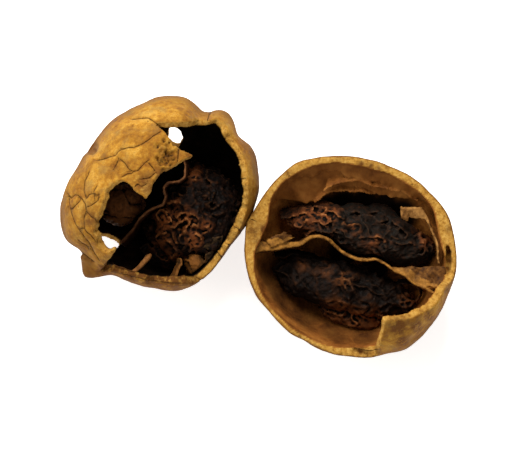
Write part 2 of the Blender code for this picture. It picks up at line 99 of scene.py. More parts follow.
LEFT_CRACKS = [
    [(-11.0, 5.9), (-9.5, 6.2), (-7.5, 6.8), (-7.1, 7.4), (-6.4, 7.8), (-5.2, 8.1), (-4.2, 8.2),
     (-2.9, 8.7), (-1.7, 9.4), (-0.8, 10.3), (0.6, 11.0)],
    [(-6.9, 6.2), (-7.5, 4.9), (-8.0, 4.1)],
    [(-7.0, 6.3), (-5.8, 5.3), (-5.1, 4.3), (-4.3, 3.8), (-3.4, 4.0), (-2.3, 5.3), (-1.5, 5.9)],
    [(-1.5, 5.3), (-0.8, 4.5), (-0.1, 3.6)],
    [(-6.4, 2.8), (-5.4, 3.4), (-4.4, 3.5)],
    [(-3.3, 2.4), (-1.4, 2.6), (-0.4, 3.5)],
    [(-4.8, 13.3), (-3.3, 13.5), (-1.7, 13.5), (-0.5, 12.7), (0.6, 11.7)],
    [(-4.0, 1.0), (-3.5, 1.6), (-2.7, 1.1), (-1.8, 1.6)],
    [(-14.7, -0.2), (-15.7, -0.9), (-16.4, 0.1)],
    [(-16.1, -0.7), (-15.9, -2.7), (-15.4, -4.2), (-14.8, -5.7), (-14.3, -6.4), (-13.6, -7.3),
     (-12.5, -8.8), (-11.5, -10.8), (-10.5, -12.3)],
    [(-16.1, -2.7), (-15.4, -2.8), (-14.0, -1.4), (-13.8, -0.8)],
    [(-14.7, -0.2), (-13.8, -0.8), (-13.0, -2.0), (-12.9, -3.2), (-13.3, -4.7), (-13.1, -6.5),
     (-12.8, -7.0), (-12.0, -7.6), (-11.0, -8.8)],
    [(-12.9, -3.2), (-12.0, -4.2), (-10.7, -5.1)],
    [(-12.8, -1.1), (-12.3, -0.2), (-11.2, -0.1), (-10.4, -0.7)],
    [(-12.9, -2.6), (-12.0, -2.3), (-10.7, -1.4), (-10.4, -0.2)],
    [(-14.3, -6.4), (-13.1, -6.5)],
    [(-15.9, -9.0), (-14.6, -10.3), (-13.1, -11.3), (-11.5, -12.4)],
    [(-14.3, -8.4), (-13.8, -9.0), (-12.9, -9.5), (-12.3, -10.3)],
    [(-12.8, -1.1), (-13.3, 0.5), (-13.1, 2.3), (-12.2, 3.8)],
    [(-10.8, 1.3), (-11.5, 0.2), (-11.2, -1.3)],
    [(10.4, -10.5), (11.8, -11.7)],
    [(13.5, -5.9), (15.0, -6.8)],
    [(6.9, -15.1), (8.1, -16.0)],
    [(9.5, 15.3), (9.0, 13.9), (8.8, 12.8)],
    [(12.8, 6.3), (14.8, 5.9)],
    [(13.3, 2.0), (15.7, 2.7)],
    [(12.2, -9.0), (13.6, -9.7)],
    [(4.0, 8.3), (3.8, 6.9), (3.6, 5.2)],
    [(-8.0, -14.4), (-4.8, -14.8), (-2.0, -15.6), (1.0, -16.0), (4.0, -16.3)],
]
LEFT_STEPS = [
    [(-6.3, 2.6), (-7.2, 3.5), (-8.4, 4.1), (-10.2, 5.1), (-11.5, 6.3), (-12.5, 7.2), (-13.1, 7.7)],
    [(-11.2, -12.6), (-12.0, -12.2), (-13.6, -11.3), (-15.3, -9.8), (-16.6, -8.6), (-17.6, -6.8)],
]
# A dent or pit: x, y, reach and depth in millimetres. The deeper pits are painted dark as painted shade.
LEFT_DENTS = [
    (-11.6, 8.3, 0.9, 0.5), (-12.1, 7.5, 0.7, 0.45), (1.2, 9.4, 0.4, 0.8), (2.3, 9.2, 0.3, 0.8),
    (3.1, 8.8, 0.35, 0.8), (0.0, 8.4, 0.45, 0.8), (1.7, 7.4, 0.45, 0.9), (2.8, 6.9, 0.4, 0.9),
    (3.0, 6.0, 0.3, 0.8), (0.1, 6.0, 0.45, 0.8), (0.6, 5.2, 0.35, 0.8), (2.0, 5.5, 0.4, 0.8),
    (2.6, 4.9, 0.3, 0.8), (1.1, 4.0, 0.35, 0.7), (1.2, 6.5, 0.3, 0.8), (-1.4, -15.6, 0.8, 0.8),
    (-4.6, -15.2, 0.5, 0.6),
]
PITTED_PLACE = (1.7, 6.7, 2.0)
PIT_DEPTH = 0.6
# Places where the shell is stained brown, and where shade is painted in as brown along its lower front lip:
# x, y and reach in millimetres, and how much.
LEFT_STAINS_AND_SHADE = [
    (-17.5, -4.0, 4.0, 0.5), (-16.5, -8.5, 3.0, 0.5), (-9, -14.5, 3.2, 1.0), (-5, -15.0, 3.4, 1.0),
    (-1, -15.8, 3.4, 1.0), (3, -16.4, 3.2, 1.0), (6, -16.4, 1.8, 0.7), (-2.2, 1.6, 2.6, 0.75),
    (0.4, 3.4, 2.0, 0.6), (1.8, 6.0, 2.4, 0.65), (-7.6, 4.4, 0.9, 0.7), (-12, -4.5, 2.2, 0.7),
    (-14, -7.5, 3.0, 0.4), (-13.5, -10.5, 2.5, 0.6), (-14.5, -13.5, 2.8, 0.75), (-11.9, 8.0, 0.9, 0.8),
    (-10, 3, 2.0, 0.15), (-4, 3.0, 2.0, 0.25), (5.4, 6.8, 1.3, 0.6),
]
LUMP_SPACING = 6.0 * MM
LUMP_HEIGHT = 0.5 * MM
PLATE_SPACING = 5.0 * MM
PLATE_WARP = 0.35
STEP_HEIGHT = 0.32 * MM
CRACK_DEPTH = 0.3 * MM
CRACK_REACH = 0.36 * MM
SHELL_GRAIN = 0.295 * MM  # size of the finished net of faces
SEEN_SHARE = 0.9978  # how far out the outer face still counts as seen from the mouth
CUT_FROM, CUT_TO = 0.72, 1.25  # a cutter's inner and outer end, as shares of the way out to the outer face
CUT_RISE = 40 * MM
TEAR_STEP = 0.4  # millimetres between the points of a torn outline


class Nut:
    """The plain form of one part of the shell, for rows of points in the part's own frame."""

    def __init__(self, middle, girth, depth, seams):
        angles, radii = zip(*girth)
        around = np.interp(np.arange(360), angles, radii, period=360)
        self.radii = sum(np.roll(around, shift) for shift in range(-3, 4)) / 7 * MM
        self.middle = np.array(middle) * MM
        self.depth = depth * MM
        self.seams = seams

    def radius(self, angle):
        return np.interp(np.degrees(angle), np.arange(360), self.radii, period=360)

    def wall(self, angle, height):
        """Thickness of the shell, which its seams make thicker near the mouth."""
        thickness = WALL + 0 * angle
        for at, extra, reach in self.seams:
            away = (np.degrees(angle) - at + 180) % 360 - 180
            level = height / self.depth / SEAM_REACH
            thickness = thickness + extra * MM * np.exp(-((away / reach) ** 2) - level**2)
        return thickness

    def level(self, points, inset=None):
        """Distance from the middle, where 1 is on the outer face, or on the inner face where inset is 0."""
        angle = np.arctan2(points[:, 1], points[:, 0])
        radius, depth = self.radius(angle), self.depth
        if inset is not None:
            radius = radius - self.wall(angle, points[:, 2]) - inset
            depth = depth - WALL - inset
        return np.hypot(np.hypot(points[:, 0], points[:, 1]) / radius, points[:, 2] / depth)

    def seen_at(self, x, y, side=1):
        """The points of the outer face that are seen at x and y, or of its far side for side -1."""
        angle = np.arctan2(y, x)
        share = np.minimum(np.hypot(x, y) / self.radius(angle), SEEN_SHARE)
        across = self.radius(angle) * share
        height = side * self.depth * np.sqrt(1 - share**2)
        return np.stack([across * np.cos(angle), across * np.sin(angle), height], axis=1)

    def keep_in(self, points, inset=CLEARANCE):
        """The points, drawn in so that they stay clear of the inner face."""
        return points / np.maximum(self.level(points, inset), 1)[:, None]

    def floor(self, x, y):
        radius = self.radius(np.arctan2(y, x)) - WALL - CLEARANCE
        share = np.minimum(np.hypot(x, y) / radius, 1)
        return -(self.depth - WALL - CLEARANCE) * np.sqrt(1 - share**2)

    def on_table(self, points):
        """The points in the frame of the whole object, above the table and inside the model's box."""
        x, y, z = points.T
        y, z = y * math.cos(LEAN) - z * math.sin(LEAN), y * math.sin(LEAN) + z * math.cos(LEAN)
        return np.clip(np.stack([x, y, z], axis=1) + self.middle, cad_box[0], cad_box[1])


def noise_at(points, size, seed=0):
    """Smooth noise from -1 to 1 with lumps of this size."""
    shift = Vector((17.3, 5.1, 31.7)) * seed
    return np.array([noise.noise(Vector(point) / size + shift) for point in points])


def smooth_between(value, low, high):
    share = np.clip((value - low) / (high - low), 0, 1)
    return share * share * (3 - 2 * share)


def points_of(mesh):
    points = np.zeros(len(mesh.vertices) * 3)
    mesh.vertices.foreach_get("co", points)
    return points.reshape(-1, 3)


def normals_of(mesh):
    normals = np.zeros(len(mesh.vertices) * 3)
    mesh.vertex_normals.foreach_get("vector", normals)
    return normals.reshape(-1, 3)


def bm_points(bm):
    return np.array([vertex.co for vertex in bm.verts])


def unit(vectors):
    return vectors / np.linalg.norm(vectors, axis=1)[:, None]


def move_verts(bm, points):
    for vertex, point in zip(bm.verts, points):
        vertex.co = point


def extrude(bm, faces, closes_end=False):
    """Extrudes faces and returns the new ones. The old ones stay only where they close the end."""
    grown = bmesh.ops.extrude_face_region(bm, geom=faces)["geom"]
    if not closes_end:
        bmesh.ops.delete(bm, geom=faces, context="FACES")
    return [item for item in grown if isinstance(item, bmesh.types.BMFace)]


def torn_outline(outline, jag):
    """A closed outline in even steps, each moved a little as where something brittle has broken."""
    corners = np.array(outline + outline[:1])
    along = np.r_[0, np.cumsum(np.hypot(*np.diff(corners, axis=0).T))]
    at = np.arange(0, along[-1], TEAR_STEP)
    x, y = (np.interp(at, along, corners[:, i]) for i in (0, 1))
    flat = np.stack([x, y, 0 * x], axis=1)
    x = x + jag * (noise_at(flat, 0.9, 1) + 0.6 * noise_at(flat, 0.4, 2))
    y = y + jag * (noise_at(flat, 0.9, 3) + 0.6 * noise_at(flat, 0.4, 4))
    return x * MM, y * MM


def edge_cutter(nut, outline, side=1, rise=0.0, jag=0.17):
    """A cutter that runs out from the nut's middle through an outline on its surface, then up by rise."""
    bm = bmesh.new()
    edge = nut.seen_at(*torn_outline(outline, jag), side)
    faces = [bm.faces.new([bm.verts.new(point * CUT_FROM) for point in edge])]
    faces = extrude(bm, faces, True)
    for vertex in faces[0].verts:
        vertex.co *= CUT_TO / CUT_FROM
    if rise:
        faces = extrude(bm, faces)
        for vertex in faces[0].verts:
            vertex.co.z += rise
    bmesh.ops.triangulate(bm, faces=[face for face in bm.faces if len(face.verts) > 4])
    bmesh.ops.recalc_face_normals(bm, faces=bm.faces)
    return bm


def shell_body(nut, tip=False):
    """The outer face with its low lumps, as a closed body."""
    bm = bmesh.new()
    bmesh.ops.create_uvsphere(bm, u_segments=200, v_segments=100, radius=1)
    directions = unit(bm_points(bm))
    radius = nut.radius(np.arctan2(directions[:, 1], directions[:, 0]))
    points = directions * np.stack([radius, radius, 0 * radius + nut.depth], axis=1)
    raised = LUMP_HEIGHT * noise_at(points, LUMP_SPACING)
    if tip:
        knob = np.array(TIP_DIRECTION) * nut.radius(np.arctan2(TIP_DIRECTION[1], TIP_DIRECTION[0]))
        raised += TIP_HEIGHT * np.exp(-((np.linalg.norm(points - knob, axis=1) / TIP_REACH) ** 2))
    move_verts(bm, points + directions * raised[:, None])
    return bm


def hollow_body(nut):
    bm = bmesh.new()
    bmesh.ops.create_uvsphere(bm, u_segments=120, v_segments=60, radius=1)
    directions = unit(bm_points(bm))
    angle = np.arctan2(directions[:, 1], directions[:, 0])
    radius = nut.radius(angle) - nut.wall(angle, directions[:, 2] * nut.depth)
    points = directions * np.stack([radius, radius, 0 * radius + nut.depth - WALL], axis=1)
    move_verts(bm, points * (1 + 0.012 * noise_at(points, 3.5 * MM, 5))[:, None])
    return bm


def carved(bodies, grain, cutters=()):
    """The bodies joined, less the cutters, drawn again with one even net of faces of this size."""
    whole = bpy.data.meshes.new("whole")
    joined = bmesh.new()
    for bm in bodies:
        part = bpy.data.meshes.new("part")
        bm.to_mesh(part)
        bm.free()
        joined.from_mesh(part)
        bpy.data.meshes.remove(part)
    joined.to_mesh(whole)
    joined.free()
    objects = [bpy.data.objects.new("whole", whole)]
    for bm in cutters:
        mesh = bpy.data.meshes.new("cutter")
        bm.to_mesh(mesh)
        bm.free()
        objects.append(bpy.data.objects.new("cutter", mesh))
        cut = objects[0].modifiers.new("cut", "BOOLEAN")
        cut.operation, cut.solver, cut.object = "DIFFERENCE", "MANIFOLD", objects[-1]
    for obj in objects:
        bpy.context.scene.collection.objects.link(obj)
    remesh = objects[0].modifiers.new("net", "REMESH")
    remesh.mode, remesh.voxel_size = "VOXEL", grain
    graph = bpy.context.evaluated_depsgraph_get()
    made = bpy.data.meshes.new_from_object(objects[0].evaluated_get(graph))
    for obj in objects:
        mesh = obj.data
        bpy.data.objects.remove(obj, do_unlink=True)
        bpy.data.meshes.remove(mesh)
    return made


def to_segment(spots, start, way):
    """For rows of x and y: how far along a segment they are, from 0 to 1, how far away, and on which side."""
    offset = spots - start
    share = np.clip(offset @ way / (way @ way), 0, 1)
    away = np.hypot(*(offset - share[:, None] * way).T)
    return share, away, way[0] * offset[:, 1] - way[1] * offset[:, 0]


def signed_distance(points, lines):
    """Distance, seen from the mouth, to the nearest line, below 0 on its right, and to its nearer end."""
    best = np.full(len(points), 1.0)
    signed = best.copy()
    from_end = best.copy()
    for line in lines:
        corners = np.array(line) * MM
        ends = np.minimum(*(np.hypot(*(points[:, :2] - corners[i]).T) for i in (0, -1)))
        for start, end in zip(corners, corners[1:]):
            _, away, side = to_segment(points[:, :2], start, end - start)
            nearer = away < best
            best = np.where(nearer, away, best)
            signed = np.where(nearer, away * np.where(side < 0, -1, 1), signed)
            from_end = np.where(nearer, ends, from_end)
    return signed, from_end


def plate_edges(points):
    """Signed distance to the net of cracks that parts the outside of the shell into plates."""
    signed = np.zeros(len(points))
    for i, point in enumerate(points):
        spot = Vector(point) / PLATE_SPACING
        warp = Vector([noise.noise(spot + Vector(by)) for by in ((17, 5, 3), (2, 31, 8), (9, 4, 23))])
        spot = spot + warp * PLATE_WARP
        near, other = noise.voronoi(spot)[1][:2]
        between = other - near
        away = ((near + other) / 2 - spot).dot(between.normalized()) * PLATE_SPACING
        signed[i] = away if tuple(near) < tuple(other) else -away
    return signed


def store(mesh, name, values):
    mesh.attributes.new(name, "FLOAT", "POINT").data.foreach_set("value", values.astype(np.float32))


def spotted(points, spots, power=1):
    """How strongly the strongest spot marks each point: x, y and reach in millimetres, and how much."""
    most = np.zeros(len(points))
    for x, y, reach, much in spots:
        away = (points[:, 0] / MM - x) ** 2 + (points[:, 1] / MM - y) ** 2
        most = np.maximum(most, much * np.exp(-((away / reach**2) ** power)))
    return most


def weathered(mesh, nut, cracks, stains_and_shade, steps=(), dents=(), pitted=None, mould_and_shade=(), torn=0.16):
    """Works the surface over: plates and cracks outside, torn grain on the breaks, soft ripples inside."""
    points, normals = points_of(mesh), normals_of(mesh)
    level = nut.level(points)
    facing = np.sum(unit(points) * normals, axis=1)
    inner_level = nut.level(points, 0)
    inside = smooth_between(-facing, 0.25, 0.6) * (inner_level < 1.04)
    outside = smooth_between(facing, 0.35, 0.75) * (level > 0.93)
    broken = 1 - np.maximum(inside, outside)
    front = points[:, 2] > -1.0 * MM
    line, from_end = signed_distance(points, cracks)
    line = np.where(front, line, 1.0)
    net = plate_edges(points)
    # The photograph shows the front's own cracks, so the net of them is only on the back.
    strength = smooth_between(noise_at(points, 7 * MM, 6), -0.3, 0.1)
    strength = strength * smooth_between(-points[:, 2], 1 * MM, 5 * MM) * outside
    use_net = (np.abs(net) < np.abs(line)) & (strength > 0.02)
    crack = np.where(use_net, net, line)
    crack_strength = np.where(use_net, strength, smooth_between(from_end, -0.6 * MM, 0.7 * MM))
    near = np.clip(1 - np.abs(crack) / (0.6 * MM), 0, 1)
    groove = np.clip(1 - np.abs(crack) / CRACK_REACH, 0, 1) ** 1.3 * crack_strength
    raised = -CRACK_DEPTH * groove * outside
    for line in steps:
        side, from_end = signed_distance(points, [line])
        up = np.exp(-((side / (1.8 * MM)) ** 2)) * smooth_between(side, -0.12 * MM, 0.12 * MM)
        raised += STEP_HEIGHT * up * smooth_between(from_end, 0, 1.5 * MM) * outside * front
    # Pits deeper than PIT_DEPTH are painted dark: painted shade in the pit.
    pit_shade = np.zeros(len(points))
    for x, y, reach, depth in dents:
        away = np.hypot(points[:, 0] - x * MM, points[:, 1] - y * MM)
        dent = np.exp(-((away / (reach * MM)) ** 4)) * (1 - inside) * front
        raised -= depth * MM * dent
        pit_shade = np.maximum(pit_shade, dent * (depth > PIT_DEPTH))
    wear_and_pit_shade = np.zeros(len(points))
    if pitted:
        x, y, reach = (value * MM for value in pitted)
        wear_and_pit_shade = np.exp(-(((points[:, 0] - x) ** 2 + (points[:, 1] - y) ** 2) / reach**2)) * front * outside
        holes = smooth_between(noise_at(points, 0.95 * MM, 7), 0.0, 0.3)
        raised -= 0.85 * MM * holes * smooth_between(wear_and_pit_shade, 0.15, 0.45)
        wear_and_pit_shade = wear_and_pit_shade * (0.35 + 0.65 * holes)
    wear_and_pit_shade = np.maximum(wear_and_pit_shade, pit_shade)
    grain = 0.09 * MM * noise_at(points, 2.2 * MM, 8) + 0.035 * MM * noise_at(points, 0.8 * MM, 9)
    raised += outside * grain
    raised += broken * torn * MM * (noise_at(points, 0.9 * MM, 10) + 0.6 * noise_at(points, 0.45 * MM, 11))
    raised += inside * 0.1 * MM * noise_at(points * [1, 1, 0.6], 2.0 * MM, 12)
    # The stain spots are partly real staining and partly painted shade, as on the lower front lip and in the
    # slot of the right rim.
    stain_and_shade = spotted(points, stains_and_shade) * (points[:, 2] > -4 * MM)
    # Painted shade in the bowl's cavity behind and below the kernel, with the mould on the skin there, darker
    # deeper down.
    mould_and_shade_share = spotted(points, mould_and_shade, 2) * smooth_between(-points[:, 2], 0.5 * MM, 6.0 * MM)
    points = points + normals * raised[:, None]
    for name, values in (
        ("mould_and_shade", mould_and_shade_share), ("broken", broken), ("inside", inside), ("crack", crack / MM), ("wear_and_pit_shade", wear_and_pit_shade),
        ("near_crack", near * crack_strength), ("height", points[:, 2] / nut.depth), ("stain_and_shade", stain_and_shade),
    ):
        store(mesh, name, values)
    return points


def add_piece(name, nut, mesh, points, finish):
    """A finished piece, whose object stays at the origin with its place in its mesh."""
    mesh.name = name
    mesh.materials.clear()
    mesh.materials.append(finish)
    mesh.vertices.foreach_set("co", nut.on_table(points).astype(np.float32).ravel())
    mesh.update()
    mesh.shade_smooth()
    piece = bpy.data.objects.new(name, mesh)
    bpy.context.scene.collection.objects.link(piece)
    return piece


class Look:
    """A material in the making, whose patterns follow the object's own coordinates."""

    def __init__(self, name, specular):
        self.material = bpy.data.materials.new(name)
        self.material.use_nodes = True
        self.tree = self.material.node_tree
        self.where = self.node("ShaderNodeTexCoord").outputs["Object"]
        self.set("Specular IOR Level", specular)

    def fill(self, socket, value):
        """Gives an input a value, or a link from another node's output."""
        if isinstance(value, bpy.types.NodeSocket):
            self.tree.links.new(value, socket)
        else:
            socket.default_value = (*value, 1) if socket.type == "RGBA" else value

    def set(self, name, value):
        """Sets an input of the surface itself."""
        self.fill(self.tree.nodes["Principled BSDF"].inputs[name], value)

    def node(self, kind, inputs=None, **settings):
        node = self.tree.nodes.new(kind)
        for key, value in settings.items():
            setattr(node, key, value)
        for key, value in (inputs or {}).items():
            self.fill(node.inputs[key], value)
        return node

    def noise(self, size, detail, roughness=0.55, stretch=None):
        """Noise whose lumps have this size in millimetres."""
        where = self.where
        if stretch:
            where = self.node("ShaderNodeMapping", {"Vector": where, "Scale": stretch}).outputs[0]
        inputs = {"Vector": where, "Scale": 1000 / size, "Detail": detail, "Roughness": roughness}
        return self.node("ShaderNodeTexNoise", inputs).outputs["Fac"]

    def cells(self, size, **settings):
        """Distance in a net of cells of this size in millimetres."""
        inputs = {"Vector": self.where, "Scale": 1000 / size, "Randomness": 1.0}
        return self.node("ShaderNodeTexVoronoi", inputs, **settings).outputs["Distance"]

    def field(self, name):
        """A value that is stored on the points of the mesh."""
        return self.node("ShaderNodeAttribute", attribute_name=name).outputs["Fac"]

    def ramp(self, value, stops):
        ramp = self.node("ShaderNodeValToRGB", {"Fac": value})
        while len(ramp.color_ramp.elements) < len(stops):
            ramp.color_ramp.elements.new(0.5)
        for element, (place, colour) in zip(ramp.color_ramp.elements, stops):
            element.position = place
            element.color = (*colour, 1)
        return ramp.outputs["Color"]

    def mix(self, share, first, second):
        return self.node("ShaderNodeMix", {0: share, 6: first, 7: second}, data_type="RGBA").outputs[2]

    def span(self, value, low, high, to_low=0.0, to_high=1.0, kind="SMOOTHSTEP"):
        """A value's way from low to high, drawn on another range."""
        inputs = {"Value": value, "From Min": low, "From Max": high, "To Min": to_low, "To Max": to_high}
        return self.node("ShaderNodeMapRange", inputs, interpolation_type=kind).outputs["Result"]

    def math(self, operation, *values):
        return self.node("ShaderNodeMath", dict(enumerate(values)), operation=operation).outputs[0]

    def times(self, one, other):
        return self.math("MULTIPLY", one, other)

    def bumps(self, *layers):
        """Bumps over one another, each from a height and a depth in millimetres."""
        below = {}
        for height, depth in layers:
            inputs = {"Height": height, "Distance": depth * MM, "Strength": 1.0, **below}
            below = {"Normal": self.node("ShaderNodeBump", inputs).outputs["Normal"]}
        self.set("Normal", below["Normal"])


def shell_finish(name, lining_stops, brown_share):
    """Dry ochre shell with stained patches and dark cracks, pale where it has broken, and its skin inside,
    with painted shade on its lower side, in its deep pits, in the rim's slot and in the bowl's cavity.
    """
    look = Look(name, 0.06)
    broad = look.noise(5.0, 5)
    mottle = look.noise(0.9, 6, 0.65)
    grain = look.noise(0.25, 4, 0.6)
    tone = look.math("ADD", look.times(broad, 0.4), look.times(mottle, 0.6))
    outer = look.ramp(tone, [
        (0.36, (0.22, 0.082, 0.011)), (0.45, (0.39, 0.170, 0.018)), (0.51, (0.49, 0.238, 0.026)),
        (0.62, (0.58, 0.33, 0.062)),
    ])
    grey = look.span(look.noise(2.6, 3), 0.48, 0.70, 0.0, 0.6)
    outer = look.mix(grey, outer, (0.27, 0.165, 0.05))
    # Painted shade: the outer face darkens towards its bottom, partly brown staining and partly the shade of
    # its lower side.
    low = look.span(look.field("height"), 0.62, -0.05)
    stain_and_shade = look.times(look.span(broad, 0.60, 0.40), brown_share)
    stain_and_shade = look.math("MAXIMUM", stain_and_shade, look.times(low, 0.95))
    spots = look.span(look.noise(1.1, 6, 0.7), 0.36, 0.56, 0.5, 1.35)
    marked_stain_and_shade = look.times(look.field("stain_and_shade"), spots)
    stain_and_shade = look.math("MINIMUM", look.math("MAXIMUM", stain_and_shade, marked_stain_and_shade), 0.95)
    outer = look.mix(stain_and_shade, outer, (0.125, 0.043, 0.008))
    # Painted shade in the pits and holes, with real worn flecks round them.
    wear_and_pit_shade = look.field("wear_and_pit_shade")
    flecks = look.span(look.noise(0.5, 4, 0.6), 0.46, 0.56)
    flecks = look.math("MAXIMUM", flecks, look.span(wear_and_pit_shade, 0.75, 0.95))
    outer = look.mix(look.times(wear_and_pit_shade, flecks), outer, (0.045, 0.020, 0.007))
    outer = look.mix(look.span(grain, 0.52, 0.36, 0.0, 0.45), outer, (0.22, 0.092, 0.016))
    pore_place = look.span(look.noise(3.1, 2), 0.52, 0.66)
    pore = look.times(look.span(look.cells(1.3), 0.17, 0.06), pore_place)
    outer = look.mix(look.times(pore, 0.55), outer, (0.12, 0.05, 0.012))
    crack = look.math("ABSOLUTE", look.field("crack"))
    wander = look.span(look.noise(0.5, 3), 0.3, 0.7, 0.05, 0.16)
    line = look.span(crack, 0.0, wander, 1.0, 0.0, "LINEAR")
    shown = look.span(look.field("near_crack"), 0.3, 0.65)
    line = look.times(line, shown)
    halo = look.times(look.span(crack, 0.6, 0.1, 0.0, 0.3), shown)
    outer = look.mix(halo, outer, (0.22, 0.09, 0.02))
    outer = look.mix(look.times(line, 0.9), outer, (0.045, 0.018, 0.006))
    fresh = look.ramp(look.noise(0.8, 6, 0.68), [
        (0.34, (0.27, 0.122, 0.020)), (0.48, (0.47, 0.240, 0.042)), (0.64, (0.58, 0.34, 0.080)),
    ])
    flecks = look.span(look.noise(0.45, 4, 0.6), 0.57, 0.66, 0.0, 1 - brown_share)
    fresh = look.mix(flecks, fresh, (0.14, 0.058, 0.014))
    # Painted shade: the stain spots on the broken faces paint the slot in the right rim dark.
    fresh = look.mix(look.math("MINIMUM", marked_stain_and_shade, 0.95), fresh, (0.10, 0.034, 0.008))
    fresh = look.mix(look.times(line, 0.85), fresh, (0.06, 0.025, 0.008))
    skin = look.ramp(look.noise(3.2, 6, 0.6), lining_stops)
    vein = look.span(look.cells(4.5, feature="DISTANCE_TO_EDGE"), 0.05, 0.0, 0.0, 0.35)
    skin = look.mix(vein, skin, tuple(1.6 * part for part in lining_stops[1][1]))
    # Painted shade: the skin in the cavity is painted near black, with the mould on it.
    mould_and_shade = look.span(look.field("mould_and_shade"), 0.1, 0.9, 0.0, 0.97)
    skin = look.mix(mould_and_shade, skin, (0.003, 0.002, 0.0015))
    colour = look.mix(look.field("broken"), outer, fresh)
    colour = look.mix(look.field("inside"), colour, skin)
    look.set("Base Color", colour)
    look.set("Roughness", look.span(mottle, 0.3, 0.7, 0.62, 0.85))
    look.bumps((mottle, 0.2), (grain, 0.07), (look.times(look.math("ADD", line, pore), -1.0), 0.18))
    return look.material


left_nut = Nut(LEFT_MIDDLE, LEFT_GIRTH, LEFT_DEPTH, LEFT_SEAMS)
mesh = carved([shell_body(left_nut, tip=True)], SHELL_GRAIN, [
    hollow_body(left_nut),
    edge_cutter(left_nut, LEFT_MOUTH, rise=CUT_RISE),
    edge_cutter(left_nut, UPPER_HOLE, side=-1),
    edge_cutter(left_nut, LOWER_HOLE, side=-1),
])
points = weathered(mesh, left_nut, LEFT_CRACKS, LEFT_STAINS_AND_SHADE, LEFT_STEPS, LEFT_DENTS, PITTED_PLACE)
left_shell = add_piece("shell_left", left_nut, mesh, points, shell_finish("dry_shell_left", [
    (0.35, (0.004, 0.003, 0.002)), (0.5, (0.009, 0.005, 0.003)), (0.7, (0.030, 0.013, 0.006)),
], 0.35))
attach(left_shell, "root")
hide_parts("left_shell")

# Left partition: the woody paper between the two lobes, dried into a thin wavy blade that stands on the
# shell. It grew in one piece with the shell, so it runs into it along its foot. Its path: x, y, half the
# thickness and the height of its upper edge, in millimetres.
LEFT_WEB = [
    (4.4, 6.6, 0.20, 3.0), (4.9, 4.9, 0.20, 4.0), (4.8, 2.9, 0.20, 4.6), (3.6, 2.1, 0.20, 4.8),
    (1.8, 2.0, 0.20, 4.6), (1.1, 1.1, 0.20, 4.4), (1.5, -0.6, 0.20, 4.2), (0.7, -1.9, 0.20, 4.0),
    (-0.6, -2.4, 0.20, 3.6), (-2.2, -3.5, 0.20, 3.0), (-3.6, -4.6, 0.20, 2.4), (-4.7, -6.3, 0.22, 1.4),
    (-5.9, -8.0, 0.26, 0.2), (-6.9, -9.0, 0.24, -0.5),
]
PAPER_GRAIN = 0.16 * MM
PATH_STEPS = 401
# The pale band along the upper edge is partly a painted highlight.
EDGE_BAND = 1.6  # millimetres from its path and upper edge in which a papery piece turns pale


def smooth_path(stations, softness):
    """A path's columns at even steps, with its corners rounded over a share of its length."""
    table = np.array(stations, dtype=float)
    along = np.r_[0, np.cumsum(np.hypot(*np.diff(table[:, :2], axis=0).T))]
    at = np.linspace(0, along[-1], PATH_STEPS)
    reach = int(PATH_STEPS * softness)
    window = np.hanning(2 * reach + 3)[1:-1]
    columns = []
    for column in table.T:
        plain = np.interp(at, along, column)
        ends = np.r_[2 * plain[0] - plain[reach:0:-1], plain, 2 * plain[-1] - plain[-2:-reach - 2:-1]]
        columns.append(np.convolve(ends, window / window.sum(), "valid"))
    return np.stack(columns, axis=1), along[-1]


def slab(columns, rows):
    """A flat closed slab, and how far each vert is along it, how far down from its top, and its side."""
    bm = bmesh.new()
    bmesh.ops.create_grid(bm, x_segments=columns, y_segments=rows, size=0.5)
    for face in extrude(bm, bm.faces[:], True):
        for vertex in face.verts:
            vertex.co.z = 2
    place = bm_points(bm)
    return bm, place[:, 0] + 0.5, 0.5 - place[:, 1], place[:, 2] - 1


def blade(nut, stations, foot=None, wave=0.25, lean=0.0, softness=0.02, seed=20, drop=None, tapered=False):
    """A thin blade along a path, down to the shell, to a foot or by a drop, with a wavy torn upper edge."""
    bm, along, down, side = slab(160, 28)
    path, length = smooth_path(stations, softness)
    tangent = unit(np.gradient(path[:, :2], axis=0))
    at = np.linspace(0, 1, PATH_STEPS)
    x, y, half, top = (np.interp(along, at, path[:, i]) for i in range(4))
    normal_x, normal_y = np.interp(along, at, -tangent[:, 1]), np.interp(along, at, tangent[:, 0])
    line = np.stack([along * length * MM, 0 * along, 0 * along], axis=1)
    sway = wave * noise_at(line + [0, 0, seed * MM], 2.6 * MM, seed) * (1 - down)
    top = top + 0.45 * noise_at(line, 1.4 * MM, seed + 1) + 0.2 * noise_at(line, 0.6 * MM, seed + 2)
    ends = smooth_between(np.minimum(along, 1 - along), 0, 0.3) if tapered else 1.0
    across = half * side * (1 - 0.25 * (1 - down) ** 4) + sway + lean * down * ends
    x, y = x + normal_x * across, y + normal_y * across
    low = nut.floor(x * MM, y * MM) / MM - 0.6 if foot is None else foot
    if drop:
        low = top - drop * (0.15 + 0.85 * ends)
    move_verts(bm, np.stack([x, y, top + (low - top) * down], axis=1) * MM)
    bmesh.ops.recalc_face_normals(bm, faces=bm.faces)
    return bm


